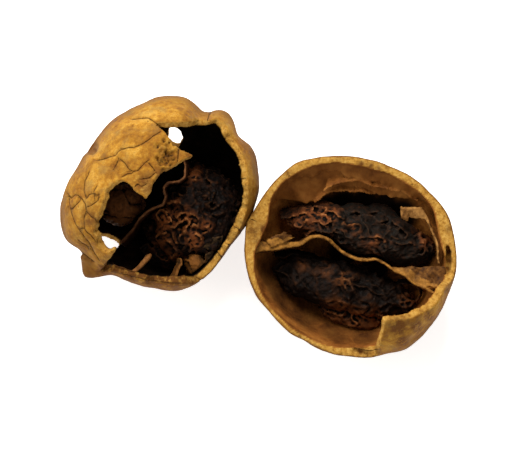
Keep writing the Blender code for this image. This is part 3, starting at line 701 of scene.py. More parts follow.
def papery(mesh, nut, tops, seed):
    """Fibres and small crumples on a papery piece, and how near each point is to the upper edge."""
    points, normals = points_of(mesh), normals_of(mesh)
    near_top = np.full(len(points), 9.0)
    for x, y, _, top in tops:
        away = np.hypot(points[:, 0] / MM - x, points[:, 1] / MM - y)
        near_top = np.where(away < EDGE_BAND, np.minimum(near_top, top - points[:, 2] / MM), near_top)
    ridges = 1 - np.abs(noise_at(points * [1, 1, 0.35], 1.3 * MM, seed)) * 2
    raised = 0.10 * MM * ridges + 0.05 * MM * noise_at(points, 0.5 * MM, seed + 1)
    # How near each point is to the upper edge, where a painted highlight goes with the paper's paler torn
    # edge.
    store(mesh, "pale_edge_and_highlight", np.clip(1 - near_top / EDGE_BAND, 0, 1))
    # Its foot and ends run a little way into the shell that it grew on.
    return nut.keep_in(points + normals * (raised - 0.03 * MM)[:, None], -0.3 * MM)


def paper_finish(name, dark, medium, light, edge_and_highlight_colour, grain=0.7):
    """Brown woody paper with fibres, paler along its torn edge: partly its own colour and partly a painted
    highlight.
    """
    look = Look(name, 0.1)
    fibres = look.noise(grain, 6, 0.6, stretch=(1, 1, 0.35))
    face = look.ramp(fibres, [(0.32, dark), (0.5, medium), (0.7, light)])
    edge = look.ramp(look.noise(0.5, 5), [
        (0.3, tuple(0.5 * part for part in edge_and_highlight_colour)), (0.6, edge_and_highlight_colour),
    ])
    patchy = look.span(look.noise(1.8, 4), 0.38, 0.55, 0.35, 1.0)
    # Painted highlight, with the paper's own paler torn edge: the band along the upper edge is painted pale.
    share = look.times(look.span(look.field("pale_edge_and_highlight"), 0.35, 0.9), patchy)
    look.set("Base Color", look.mix(share, face, edge))
    look.set("Roughness", look.span(fibres, 0.3, 0.7, 0.5, 0.8))
    look.bumps((fibres, 0.12), (look.noise(0.25, 3), 0.04))
    return look.material


mesh = carved([blade(left_nut, LEFT_WEB, wave=0.3, lean=0.9)], PAPER_GRAIN)
points = papery(mesh, left_nut, LEFT_WEB, 22)
left_partition = add_piece("partition_left", left_nut, mesh, points, paper_finish(
    "dark_paper", (0.016, 0.006, 0.003), (0.060, 0.020, 0.008), (0.12, 0.040, 0.013), (0.25, 0.100, 0.036),
))
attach(left_partition, "root")
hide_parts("left_partition")

# Strip in the left part: a sliver of the woody partition that has split off and leans on the shell's lower
# wall, with two thinner slivers inside the front lip.
LEFT_STRIP = [
    (-5.2, -14.9, 0.3, 4.8), (-4.3, -14.1, 0.36, 5.2), (-3.4, -13.3, 0.38, 5.4), (-2.5, -12.3, 0.42, 5.4),
    (-1.8, -11.5, 0.5, 5.2), (-1.3, -11.0, 0.22, 4.6),
]
LOW_SLIVER = [
    (-9.0, -14.2, 0.2, 5.6), (-7.4, -14.3, 0.2, 5.8), (-5.8, -14.8, 0.2, 5.8), (-3.8, -15.0, 0.2, 5.4),
]
FRONT_SLIVER = [
    (-2.2, -15.9, 0.2, 4.6), (-0.4, -15.9, 0.2, 4.8), (1.6, -15.8, 0.2, 4.6), (3.6, -16.0, 0.2, 4.2),
]
mesh = carved([
    blade(left_nut, LEFT_STRIP, foot=1.0, wave=0.2, seed=26),
    blade(left_nut, LOW_SLIVER, drop=1.2, lean=0.9, wave=0.5, seed=28, tapered=True),
    blade(left_nut, FRONT_SLIVER, drop=1.0, lean=0.7, wave=0.5, seed=29, tapered=True),
], PAPER_GRAIN)
points = papery(mesh, left_nut, LEFT_STRIP, 27)
left_strip = add_piece("partition_strip_left", left_nut, mesh, points, paper_finish(
    "light_paper", (0.08, 0.030, 0.009), (0.18, 0.072, 0.020), (0.28, 0.12, 0.035), (0.30, 0.12, 0.03),
))
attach(left_strip, "root")
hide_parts("left_partition_strip")

# Large kernel lobe of the left part: nut meat that has shrivelled into crumpled skins, almost black, and red
# brown on the crests of its folds. It lies loose on the right side of the partition.
LEFT_LOBE = dict(middle=(6.4, -4.4, -5.6), half=(8.6, 9.4, 8.6), turn=-20)
SCRAP = dict(middle=(6.6, -12.6, -2.6), half=(1.9, 2.6, 3.4), turn=20)
WEB_CLEARANCE = 0.5 * MM
KERNEL_GRAIN = 0.17 * MM


def crumple(points, broad, deep, seed, plump=0.0):
    """Height of a dried kernel's folds: sharp crests, or with plump 1 round folds between creases."""
    wander = np.stack([noise_at(points, broad * 0.9, seed + i) for i in range(3)], axis=1)
    bent = points + wander * broad * 0.8
    first = 1 - np.abs(noise_at(bent, broad, seed + 3)) * 2
    bent = points + wander * broad * 0.45
    second = 1 - np.abs(noise_at(bent, broad * 0.45, seed + 4)) * 2
    third = 1 - np.abs(noise_at(bent, broad * 0.2, seed + 5)) * 2
    first, second, third = (np.clip(value, 0, 1) for value in (first, second, third))
    plump = np.clip(plump + 1.1 * noise_at(points, broad * 1.4, seed + 15), 0, 1)
    first = (1 - plump) * first**2.5 + plump * (0.95 - 0.9 * first**3)
    second = (1 - plump) * second**2 + plump * (0.9 - 0.8 * second**2.5)
    return deep * (first - 0.55), 0.38 * deep * (second - 0.5), 0.14 * deep * (third - 0.5)


def turned(degrees):
    """The matrix that turns a row of points about the axis of the mouth."""
    turn = math.radians(degrees)
    return np.array([[math.cos(turn), -math.sin(turn), 0], [math.sin(turn), math.cos(turn), 0], [0, 0, 1]])


def keep_off(points, centre, stations, side):
    """The points, drawn back to their lobe's centre until they stand clear on one side of a partition."""
    share = np.zeros(len(points))
    open_still = np.ones(len(points), bool)
    for step in np.linspace(0.025, 1, 40):
        spot = (centre + (points - centre) * step) / MM
        best = np.full(len(points), 1e9)
        clear = np.zeros(len(points))
        for (ax, ay, ah, _), (bx, by, bh, _) in zip(stations, stations[1:]):
            way = np.array([bx - ax, by - ay])
            at, away, across = to_segment(spot[:, :2], [ax, ay], way)
            across = across / np.hypot(*way)
            rank = np.round(away, 3) - 1e-5 * np.abs(across)
            nearer = rank < best
            best = np.where(nearer, rank, best)
            clear = np.where(nearer, across * side - (ah + (bh - ah) * at), clear)
        open_still &= clear > WEB_CLEARANCE / MM
        share[open_still] = step
    return centre + (points - centre) * share[:, None]


def keep_clear(points, centre, shape):
    """The points, drawn back towards their own lobe's centre until they are clear of another one."""
    spin = turned(-shape["turn"])
    size = np.array(shape["half"]) * MM + 2 * CLEARANCE
    start = spin @ (centre - np.array(shape["middle"]) * MM) / size
    way = (points - centre) @ spin.T / size
    long = np.sum(way * way, axis=1)
    inside = (way @ start) ** 2 - long * (start @ start - 1)
    share = (-(way @ start) - np.sqrt(np.maximum(inside, 0))) / np.maximum(long, 1e-12)
    hit = (inside > 0) & (share > 0) & (share < 1)
    return centre + (points - centre) * np.where(hit, share, 1)[:, None]


def lobe_body(nut, shape, broad, deep, seed, plump, web=None, near=None, fineness=6):
    """A lobe of the kernel with its broad folds, clear of the wall, of a partition and of a lobe near it."""
    middle, size = np.array(shape["middle"]) * MM, np.array(shape["half"]) * MM
    bm = bmesh.new()
    bmesh.ops.create_icosphere(bm, subdivisions=fineness, radius=1)
    directions = unit(bm_points(bm))
    outward = unit(directions / size)
    spots = directions * size
    folds = crumple(spots + middle, broad, deep, seed, plump)
    spots = spots + outward * sum(folds[:2])[:, None]
    points = spots @ turned(shape["turn"]).T + middle
    if web:
        points = keep_off(points, middle, *web)
    if near:
        points = keep_clear(points, middle, near)
    move_verts(bm, nut.keep_in(points))
    return bm


def loose_skins(nut, shape, paths, rise, seed, drop=2.6, lean=0.8, half=0.17):
    """Thin curled skins that stand on a lobe along these paths, seen from the mouth."""
    turn = -math.radians(shape["turn"])
    skins = []
    for i, path in enumerate(paths):
        stations = []
        for x, y in path:
            off_x, off_y = x - shape["middle"][0], y - shape["middle"][1]
            along = (off_x * math.cos(turn) - off_y * math.sin(turn)) / shape["half"][0]
            across = (off_x * math.sin(turn) + off_y * math.cos(turn)) / shape["half"][1]
            height = shape["half"][2] * math.sqrt(max(0.08, 1 - along**2 - across**2))
            stations.append((x, y, half, shape["middle"][2] + height + rise))
        skins.append(blade(nut, stations, wave=0.8, lean=lean, softness=0.03, seed=seed + 3 * i, drop=drop))
        move_verts(skins[-1], nut.keep_in(bm_points(skins[-1]), 0.4 * MM))
    return skins


def kernel_skin(mesh, nut, broad, deep, seed, red=()):
    """Finer wrinkles on the drawn lobe, how high each point stands on its folds, and how red it is."""
    points, normals = points_of(mesh), normals_of(mesh)
    folds = crumple(points, broad, deep, seed)
    bent = points + 0.5 * MM * np.stack([noise_at(points, 1.5 * MM, seed + i) for i in (6, 7, 8)], axis=1)
    wrinkles = np.clip(1 - np.abs(noise_at(bent, 0.75 * MM, seed + 9)) * 2.4, 0, 1)
    raised = 0.12 * MM * (wrinkles - 0.5) + folds[2] * 0.6
    bent_in = np.zeros(len(points))
    count = np.zeros(len(points))
    edges = np.zeros(len(mesh.edges) * 2, int)
    mesh.edges.foreach_get("vertices", edges)
    edges = edges.reshape(-1, 2)
    way = points[edges[:, 1]] - points[edges[:, 0]]
    length = np.linalg.norm(way, axis=1) + 1e-9
    for one, sign in ((0, 1), (1, -1)):
        slope = -sign * np.sum(way * normals[edges[:, one]], axis=1) / length
        np.add.at(bent_in, edges[:, one], slope)
        np.add.at(count, edges[:, one], 1)
    curve = bent_in / np.maximum(count, 1)
    for _ in range(6):
        total, count = np.zeros(len(points)), np.zeros(len(points))
        for one, other in ((0, 1), (1, 0)):
            np.add.at(total, edges[:, one], curve[edges[:, other]])
            np.add.at(count, edges[:, one], 1)
        curve = 0.4 * curve + 0.6 * total / np.maximum(count, 1)
    crest = np.clip(0.5 + 3.6 * curve + 0.2 * (wrinkles - 0.4), 0, 1)
    store(mesh, "crest", crest)
    patches = 0.3 * noise_at(points, 2.2 * MM, seed + 12) + 0.3 * noise_at(points, 0.9 * MM, seed + 13)
    store(mesh, "redness", np.clip(spotted(points, red) + patches - 0.16, 0, 1))
    return nut.keep_in(points + normals * raised[:, None], 0.2 * MM)


def kernel_finish(name, dark, deep_red, crest_red, crest_pale):
    """Shrivelled kernel skin: red brown on the folds and pale on each crest, with painted shade that makes it
    near black in the hollows.
    """
    look = Look(name, 0.05)
    mottle = look.noise(0.8, 5, 0.6)
    crest = look.field("crest")
    red = look.field("redness")
    body = look.mix(look.span(mottle, 0.4, 0.7), dark, deep_red)
    body = look.mix(look.times(red, look.span(crest, 0.3, 0.62)), body, crest_red)
    edge = look.times(look.span(crest, 0.7, 1.0), look.span(red, 0.0, 0.7, 0.06, 0.75))
    body = look.mix(edge, body, crest_pale)
    # Painted shade: near black in the hollows between the folds.
    painted_hollow_shade = look.span(crest, 0.45, 0.15, 0.0, 0.9)
    body = look.mix(painted_hollow_shade, body, (0.003, 0.002, 0.0015))
    look.set("Base Color", body)
    look.set("Roughness", look.span(mottle, 0.35, 0.65, 0.42, 0.70))
    look.bumps((mottle, 0.16), (look.noise(0.28, 4, 0.6), 0.05))
    return look.material


LEFT_SKINS = [
    [(1.7, -3.5), (0.5, -3.4), (0.0, -4.0), (0.2, -5.0), (1.2, -5.4), (2.0, -5.3), (2.4, -4.9), (1.7, -4.3)],
    [(3.7, -4.9), (4.3, -4.3), (5.5, -4.0), (6.8, -4.3), (7.4, -5.0), (7.0, -5.9), (6.3, -5.4)],
    [(7.5, -5.8), (8.5, -5.5), (9.4, -5.0), (9.5, -5.8), (8.9, -6.8), (8.0, -7.4)],
    [(-0.2, -6.9), (0.8, -6.6), (2.0, -6.5), (3.0, -6.0), (3.4, -5.5)],
    [(-2.1, -8.3), (-1.4, -8.0), (-0.5, -8.3), (0.3, -7.8), (1.5, -7.3)],
    [(4.0, -7.3), (3.8, -8.3), (4.3, -9.0), (5.3, -8.8), (6.0, -7.5), (6.8, -7.0), (7.4, -8.0),
     (7.3, -9.1), (6.3, -9.4)],
    [(4.8, -9.0), (4.3, -10.0), (3.4, -10.5), (3.0, -11.3), (1.5, -12.0), (0.0, -11.5), (-1.0, -10.5),
     (-1.9, -8.9)],
    [(1.9, -2.3), (3.0, -1.5), (4.0, -1.3), (5.0, -2.0), (6.3, -2.3), (7.0, -1.5)],
    [(8.8, 4.4), (8.5, 2.7), (9.5, 1.7), (10.3, 1.7), (10.5, 0.9)],
    [(5.2, 5.2), (5.7, 4.5), (6.5, 4.0), (7.1, 3.2), (6.8, 2.2), (5.8, 2.7), (5.1, 3.6)],
    [(9.0, -1.0), (10.4, -1.6), (11.6, -1.2), (12.0, -2.6), (11.0, -3.6), (9.8, -3.2)],
]
bodies = [lobe_body(left_nut, LEFT_LOBE, 3.2 * MM, 1.9 * MM, 30, 0.3, (LEFT_WEB, 1), SCRAP)]
bodies += loose_skins(left_nut, LEFT_LOBE, LEFT_SKINS, 0.25, 300, 2.4, 1.7, 0.2)
mesh = carved(bodies, KERNEL_GRAIN)
points = kernel_skin(mesh, left_nut, 3.4 * MM, 1.5 * MM, 30, [
    (1.2, -4.6, 2.4, 1.0), (5.0, -5.0, 2.6, 0.9), (8.6, -6.0, 1.6, 0.6), (1.0, -7.8, 2.6, 0.6),
    (6.3, -8.2, 2.0, 0.85), (2.5, -11.0, 2.6, 0.5), (3.0, -2.0, 2.0, 0.5), (6.2, 3.6, 1.8, 0.7),
])
left_kernel = add_piece("kernel_lobe_left", left_nut, mesh, points, kernel_finish(
    "red_kernel", (0.0040, 0.0032, 0.003), (0.018, 0.0075, 0.0045), (0.23, 0.066, 0.017),
    (0.38, 0.150, 0.048),
))
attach(left_kernel, "root")
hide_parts("left_kernel_lobe")

# Small kernel lobe of the left part: the same nut meat on the other side of the partition, under the tongue
# of shell, where it has dried to a smoother brown lump.
SIDE_LOBE = dict(middle=(-6.9, -2.0, -4.4), half=(4.3, 3.5, 5.0), turn=-12)
side_lobe = lobe_body(left_nut, SIDE_LOBE, 4.0 * MM, 1.1 * MM, 60, 0.9, (LEFT_WEB, -1))
mesh = carved([side_lobe], KERNEL_GRAIN)
points = kernel_skin(mesh, left_nut, 3.6 * MM, 1.1 * MM, 60, [(-6.9, -3.4, 4.0, 0.9)])
side_kernel = add_piece("kernel_small_lobe_left", left_nut, mesh, points, kernel_finish(
    "smooth_brown_kernel", (0.06, 0.023, 0.009), (0.12, 0.042, 0.014), (0.24, 0.084, 0.024),
    (0.32, 0.14, 0.045),
))
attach(side_kernel, "root")
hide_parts("left_kernel_small_lobe")

# Scrap of lining in the left part: a rounded flap of the shell's brown inner skin that has rolled up and lies
# against the lower right wall.
SHARDS = [
    [(7.9, -9.8, 1.2), (9.6, -7.9, 1.4), (11.6, -7.6, 0.6), (10.6, -10.6, -0.6)],
    [(8.4, -11.0, 0.2), (10.0, -10.4, 0.4), (9.6, -12.6, -1.0), (8.3, -13.2, -1.4)],
]
BRIDGE = [
    (2.6, -16.2, 0.30, 0.6), (3.0, -15.2, 0.30, 0.8), (3.6, -14.0, 0.26, 0.7), (4.1, -12.8, 0.24, 0.4),
    (4.0, -11.6, 0.18, 0.0),
]


def sheet(corners, half=0.22, wave=0.3, ragged=0.12, seed=0):
    """A thin sheet between four corners, given in turn, that is bent in waves and torn round its edge."""
    bm, along, down, side = slab(70, 50)
    first, second, third, fourth = (np.array(corner, dtype=float) for corner in corners)
    flat = np.stack([along, down, 0 * along], axis=1)
    along = 0.5 + (along - 0.5) * (1 + ragged * noise_at(flat * [0.2, 1, 1], 0.15, seed))
    down = 0.5 + (down - 0.5) * (1 + ragged * noise_at(flat * [1, 0.2, 1], 0.15, seed + 1))
    along, down = along[:, None], down[:, None]
    upper = first * (1 - along) + second * along
    lower = fourth * (1 - along) + third * along
    spots = upper * (1 - down) + lower * down
    across = np.cross(second - first, fourth - first)
    across /= np.linalg.norm(across)
    bend = wave * noise_at(spots, 2.2, seed + 2)[:, None]
    move_verts(bm, (spots + across * (side[:, None] * half + bend)) * MM)
    bmesh.ops.recalc_face_normals(bm, faces=bm.faces)
    return bm


sheets = [sheet(corners, seed=500 + 10 * i) for i, corners in enumerate(SHARDS)]
sheets.append(blade(left_nut, BRIDGE, drop=1.6, lean=0.7, wave=0.3, seed=530))
for body in sheets:
    move_verts(body, left_nut.keep_in(bm_points(body), -0.2 * MM))
rolled = lobe_body(left_nut, SCRAP, 2.6 * MM, 0.7 * MM, 80, 0.6, fineness=5)
mesh = carved([rolled] + sheets, KERNEL_GRAIN)
points = kernel_skin(mesh, left_nut, 2.6 * MM, 0.6 * MM, 80, [(5.8, -12.6, 2.4, 1.2), (3.6, -14.2, 2.0, 1.2)])
scrap = add_piece("lining_scrap_left", left_nut, mesh, points, kernel_finish(
    "rolled_lining", (0.030, 0.018, 0.010), (0.060, 0.034, 0.015), (0.19, 0.072, 0.015), (0.25, 0.10, 0.024),
))
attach(scrap, "root")
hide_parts("left_lining_scrap")

# Right part of the shell: a bowl that has split cleanly along the seam, which leaves a smooth pale rim. A
# flap of its front wall stands over the lower right side, and a sliver has split off inside its right rim.
RIGHT_MIDDLE = (16.38, -5.59, 16.15)
RIGHT_DEPTH = 16.6
RIGHT_GIRTH = [
    (4, 19.3), (16, 19.4), (27, 19.3), (38, 18.9), (50, 18.2), (63, 17.9), (78, 17.8), (93, 18.3),
    (107, 18.8), (119, 19.3), (130, 19.4), (142, 19.2), (152, 19.1), (161, 19.5), (171, 18.9), (182, 18.6),
    (191, 18.5), (201, 18.1), (211, 17.8), (227, 17.2), (243, 17.2), (258, 17.5), (271, 17.8), (280, 18.3),
    (290, 18.5), (302, 19.3), (313, 19.2), (334, 19.2), (353, 19.1),
]
RIGHT_SEAMS = [(160, 2.1, 13), (14, 1.2, 16), (285, 0.7, 14), (225, -0.5, 34)]
RIGHT_MOUTH = [
    (18.9, -2.6), (18.4, -4.4), (17.0, -5.5), (15.9, -7.4), (14.5, -9.1), (12.5, -9.9), (11.0, -10.7),
    (9.4, -11.1), (6.2, -11.3), (6.0, -13.3), (5.7, -14.4), (5.3, -15.7), (5.2, -18.0), (0.0, -19.5),
    (-9.0, -17.0), (-16.0, -12.0), (-19.5, -3.0), (-19.6, 7.0), (-14.0, 14.5), (-5.0, 19.0), (5.0, 19.5),
    (13.0, 15.0), (18.5, 8.0), (19.8, 1.0),
]
RIM_SLOT = [(17.4, 2.2), (18.0, 2.1), (18.4, 0.6), (18.4, -1.4), (17.9, -3.1), (17.1, -2.9), (17.4, -0.6)]
SLOT_DEPTH = 2.4 * MM
RIGHT_CRACKS = [
    [(-18.8, 7.5), (-17.8, 6.9), (-16.7, 6.4)],
    [(-14.2, -5.0), (-13.5, -4.6), (-12.8, -4.4)],
    [(0.0, -14.9), (0.5, -16.2)],
    [(0.0, -15.1), (1.2, -16.4), (3.8, -16.9), (5.4, -16.4)],
]
# Places where the shell is stained brown, with painted shade in the slot of its right rim: x, y and reach in
# millimetres, and how much.
RIGHT_STAINS_AND_SHADE = [
    (17.9, 0.9, 0.5, 1.0), (18.0, -0.6, 0.5, 1.0), (17.7, -2.1, 0.5, 1.0), (-15.2, 5.0, 1.1, 0.9),
    (-14.4, 4.4, 0.9, 0.8), (2.2, 16.7, 0.6, 0.8), (3.8, 16.4, 0.6, 0.9), (5.2, 16.0, 0.5, 0.7),
    (8.6, -12.4, 1.9, 1.0), (12.0, -12.4, 1.5, 0.9), (14.4, -10.6, 1.3, 0.9), (9.5, -15.0, 1.6, 0.8),
    (12.6, -14.2, 1.4, 0.6), (17.6, -6.0, 0.8, 0.9), (5.4, -17.2, 1.0, 0.6), (-17.0, 4.5, 1.8, 0.6),
    (-16.0, 2.8, 1.2, 0.7), (-10.0, -15.2, 2.0, 0.35), (-16.5, -9.0, 2.0, 0.35), (3.0, -17.2, 1.0, 0.6),
    (-17.5, 8.0, 0.7, 0.7), (7.0, 17.2, 1.0, 0.7), (2.0, -16.7, 0.8, 1.0), (-2.0, 18.4, 0.8, 0.5),
    (-11.0, 15.2, 0.8, 0.6), (18.0, 5.0, 0.8, 0.5),
]
RIGHT_DENTS = [(1.2, -16.8, 0.55, 0.65), (2.1, -17.2, 0.6, 0.8), (3.0, -17.5, 0.4, 0.65)]
# Where the skin inside the bowl is painted black, with mould and mostly painted shade in the cavity behind
# and below the kernel: x, y and reach in millimetres, and how much.
RIGHT_MOULD_AND_SHADE = [
    (-3.5, 8.6, 2.8, 1.0), (-0.5, 9.2, 3.4, 1.0), (3.0, 9.2, 3.6, 1.0), (6.5, 8.6, 3.6, 1.0),
    (9.6, 7.6, 3.4, 1.0), (-1.0, 0.5, 3.0, 1.0), (5.0, -2.0, 3.0, 1.0), (-6.0, -5.5, 3.6, 1.0),
    (0.0, -7.0, 4.0, 1.0), (6.0, -8.0, 4.0, 1.0), (-14.0, -3.0, 4.5, 0.62), (-12.0, -7.0, 5.0, 0.64),
    (-8.0, -10.0, 5.0, 0.62), (-2.0, -13.0, 4.5, 0.58), (3.0, -13.5, 4.0, 0.60), (15.0, -1.0, 3.5, 0.6),
    (-12.5, 1.5, 2.5, 0.5),
]


def slot_cutter(outline, depth):
    bm = bmesh.new()
    faces = [bm.faces.new([bm.verts.new((x * MM, y * MM, 3 * depth)) for x, y in outline])]
    for vertex in extrude(bm, faces, True)[0].verts:
        vertex.co.z = -depth
    bmesh.ops.recalc_face_normals(bm, faces=bm.faces)
    return bm


right_nut = Nut(RIGHT_MIDDLE, RIGHT_GIRTH, RIGHT_DEPTH, RIGHT_SEAMS)
mesh = carved([shell_body(right_nut)], SHELL_GRAIN, [
    hollow_body(right_nut),
    edge_cutter(right_nut, RIGHT_MOUTH, rise=CUT_RISE, jag=0.12),
    slot_cutter(RIM_SLOT, SLOT_DEPTH),
])
points = weathered(
    mesh, right_nut, RIGHT_CRACKS, RIGHT_STAINS_AND_SHADE, dents=RIGHT_DENTS, mould_and_shade=RIGHT_MOULD_AND_SHADE, torn=0.07,
)
right_shell = add_piece("shell_right", right_nut, mesh, points, shell_finish("dry_shell_right", [
    (0.34, (0.13, 0.042, 0.009)), (0.5, (0.28, 0.098, 0.019)), (0.68, (0.42, 0.170, 0.035)),
], 0.6))
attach(right_shell, "root")
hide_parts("right_shell")

# Right partition: it crosses the bowl from seam to seam and its torn upper edge shows as a pale wavy band,
# which widens into a lump at the left seam and into a web at the right one.
RIGHT_WEB = [
    (-18.4, 1.9, 1.5, -0.5), (-16.8, 1.9, 1.3, -0.5), (-14.9, 1.9, 1.0, -0.6), (-13.0, 1.9, 0.8, -0.8),
    (-10.6, 2.1, 0.6, -0.8), (-8.6, 2.6, 0.40, -0.5), (-7.1, 3.7, 0.32, 0.0), (-5.4, 3.9, 0.32, 0.0),
    (-3.6, 3.2, 0.30, -0.6), (-2.4, 2.0, 0.28, -1.2), (-0.6, 0.6, 0.28, -1.8), (1.3, -0.3, 0.32, -2.0),
    (3.2, -0.4, 0.32, -1.9), (4.8, -0.2, 0.25, -1.8), (6.6, -1.2, 0.22, -1.7), (8.2, -2.3, 0.22, -1.5),
    (10.3, -3.5, 0.22, -1.2), (11.8, -4.7, 0.22, -1.0), (13.4, -5.5, 0.25, -0.9), (15.2, -6.3, 0.3, -0.9),
    (17.2, -6.6, 0.3, -0.9),
]
WEB_SHEET = [(7.6, -1.8, -2.6), (17.4, -1.8, -1.8), (18.4, -5.6, -1.0), (13.2, -5.3, -1.3)]
SEAM_LUMP = [(-14.6, 3.2, -0.9), (-11.4, 4.7, -0.1), (-10.2, 3.3, -0.6), (-13.8, 1.8, -1.0)]
sheets = [sheet(WEB_SHEET, 0.3, 0.9, 0.15, 95), sheet(SEAM_LUMP, 0.4, 0.5, 0.45, 98)]
mesh = carved([blade(right_nut, RIGHT_WEB, seed=90)] + sheets, PAPER_GRAIN)
points = papery(mesh, right_nut, RIGHT_WEB, 92)
right_partition = add_piece("partition_right", right_nut, mesh, points, paper_finish(
    "ochre_paper", (0.035, 0.013, 0.004), (0.105, 0.042, 0.010), (0.21, 0.092, 0.022), (0.38, 0.172, 0.032),
))
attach(right_partition, "root")
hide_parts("right_partition")

# Upper kernel lobe of the right part: a long shrivelled lobe behind the partition, red and frayed at its left
# end and like grey leather at its right. Its dark skin is painted greyer all over as a painted sheen.
UPPER_LOBE = dict(middle=(2.4, 4.2, -7.2), half=(14.0, 4.1, 4.6), turn=-13)
UPPER_SKINS = [
    [(-12.3, 7.2), (-11.4, 7.4), (-9.8, 7.5), (-8.3, 7.6), (-6.8, 7.9), (-6.2, 8.9)],
    [(-6.2, 8.9), (-5.2, 8.9), (-3.9, 8.4), (-2.6, 8.0), (-1.9, 7.3), (-0.6, 7.1)],
    [(-9.8, 6.2), (-8.6, 5.6), (-7.4, 6.3), (-6.4, 5.8), (-5.2, 6.6), (-4.4, 5.9), (-3.0, 6.2)],
    [(-7.8, 3.8), (-6.2, 4.5), (-4.7, 4.8), (-3.1, 4.5), (-2.1, 5.1), (-1.1, 4.3), (0.7, 2.5)],
    [(-0.8, 7.6), (0.5, 8.3), (1.8, 8.2), (2.7, 7.5)],
    [(3.2, 7.4), (4.1, 7.9), (5.1, 8.2), (6.4, 7.9), (7.4, 7.1), (8.0, 6.1), (9.5, 5.1), (10.8, 4.3),
     (11.1, 3.8), (10.3, 3.3), (9.0, 3.5), (7.7, 4.0)],
    [(8.0, 3.3), (9.5, 2.5), (10.8, 2.7), (12.3, 2.2), (13.6, 1.7), (13.4, 0.4), (11.6, 0.0), (9.8, -0.1),
     (8.5, 0.7), (7.4, 1.7)],
    [(4.7, 7.1), (5.1, 6.4), (6.2, 6.1), (7.2, 6.6)],
    [(2.0, 3.0), (3.6, 3.8), (5.1, 4.0), (6.4, 3.5), (7.0, 2.5), (6.7, 1.2), (5.9, 0.7)],
]
bodies = [lobe_body(right_nut, UPPER_LOBE, 3.0 * MM, 1.3 * MM, 110, 0.25, (RIGHT_WEB, 1))]
bodies += loose_skins(right_nut, UPPER_LOBE, UPPER_SKINS, 0.35, 400, 2.4, 1.5, 0.2)
mesh = carved(bodies, KERNEL_GRAIN)
points = kernel_skin(mesh, right_nut, 3.0 * MM, 1.3 * MM, 110, [
    (-8.2, 7.0, 3.2, 0.8), (-4.6, 7.6, 2.6, 0.85), (-4.0, 4.6, 1.6, 0.3), (0.2, 5.6, 2.0, 0.5),
    (4.4, 2.2, 2.0, 0.5), (14.0, 3.4, 2.4, 0.6),
])
# Painted sheen: the dark skin of this lobe is painted greyer in place of a leathery shine.
upper_kernel = add_piece("kernel_upper_lobe_right", right_nut, mesh, points, kernel_finish(
    "grey_sheen_kernel", (0.011, 0.0095, 0.008), (0.026, 0.012, 0.007), (0.22, 0.064, 0.018), (0.36, 0.140, 0.046),
))
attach(upper_kernel, "root")
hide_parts("right_kernel_upper_lobe")

# Lower kernel lobe of the right part: a long dark lobe in front of the partition. Brown folds of its skin
# hang below it, over the near wall of the bowl.
LOWER_LOBE = dict(middle=(-0.6, -5.6, -7.9), half=(13.2, 4.4, 4.4), turn=-15)
HANGING_FOLD = dict(middle=(0.5, -10.7, -9.4), half=(5.8, 2.0, 2.4), turn=-18)
bodies = [
    lobe_body(right_nut, shape, 3.6 * MM, deep, seed, 0.5, (RIGHT_WEB, -1))
    for shape, deep, seed in ((LOWER_LOBE, 1.5 * MM, 130), (HANGING_FOLD, 0.9 * MM, 150))
]
LOWER_SKINS = [
    [(-13.2, 0.0), (-12.2, 0.3), (-9.6, 0.4), (-7.3, 0.0), (-5.7, -0.7), (-4.2, -0.9), (-2.6, -2.2),
     (-1.1, -3.2)],
    [(-13.2, -2.2), (-11.4, -3.5), (-9.6, -5.0), (-8.3, -6.6), (-6.2, -7.3), (-4.7, -7.6)],
    [(-9.0, -2.8), (-8.6, -4.2), (-7.6, -5.6), (-5.6, -6.4)],
    [(-0.6, -4.6), (1.6, -5.6), (3.4, -5.4), (5.0, -6.6), (6.9, -6.8), (8.6, -5.8)],
    [(9.0, -5.0), (11.3, -4.6), (12.6, -5.5), (12.9, -6.8), (12.1, -7.9), (9.6, -8.4)],
]
bodies += loose_skins(right_nut, LOWER_LOBE, LOWER_SKINS, 0.3, 450)
FOLD_SKINS = [
    [(-5.2, -7.9), (-4.2, -9.4), (-2.6, -10.4), (-1.1, -11.7), (0.0, -12.5), (1.2, -12.8), (2.0, -12.0),
     (1.0, -11.2), (1.2, -10.4), (2.5, -10.7), (4.1, -11.2), (5.6, -12.2)],
    [(-3.1, -7.9), (-1.1, -8.9), (2.5, -9.7), (5.6, -10.4)],
]
bodies += loose_skins(right_nut, HANGING_FOLD, FOLD_SKINS, 0.3, 480)
mesh = carved(bodies, KERNEL_GRAIN)
points = kernel_skin(mesh, right_nut, 3.6 * MM, 1.3 * MM, 130, [
    (-8.0, -1.6, 1.6, 0.5), (-4.0, -2.6, 1.8, 0.7), (-1.2, -4.4, 1.8, 0.9), (11.2, -7.2, 2.2, 0.8),
    (-2.0, -10.4, 2.8, 1.1), (1.5, -11.6, 3.0, 1.2), (4.6, -11.6, 2.4, 1.0),
])
lower_kernel = add_piece("kernel_lower_lobe_right", right_nut, mesh, points, kernel_finish(
    "brown_kernel", (0.005, 0.0035, 0.003), (0.014, 0.007, 0.0045), (0.12, 0.040, 0.012), (0.17, 0.07, 0.025),
))
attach(lower_kernel, "root")
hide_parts("right_kernel_lower_lobe")

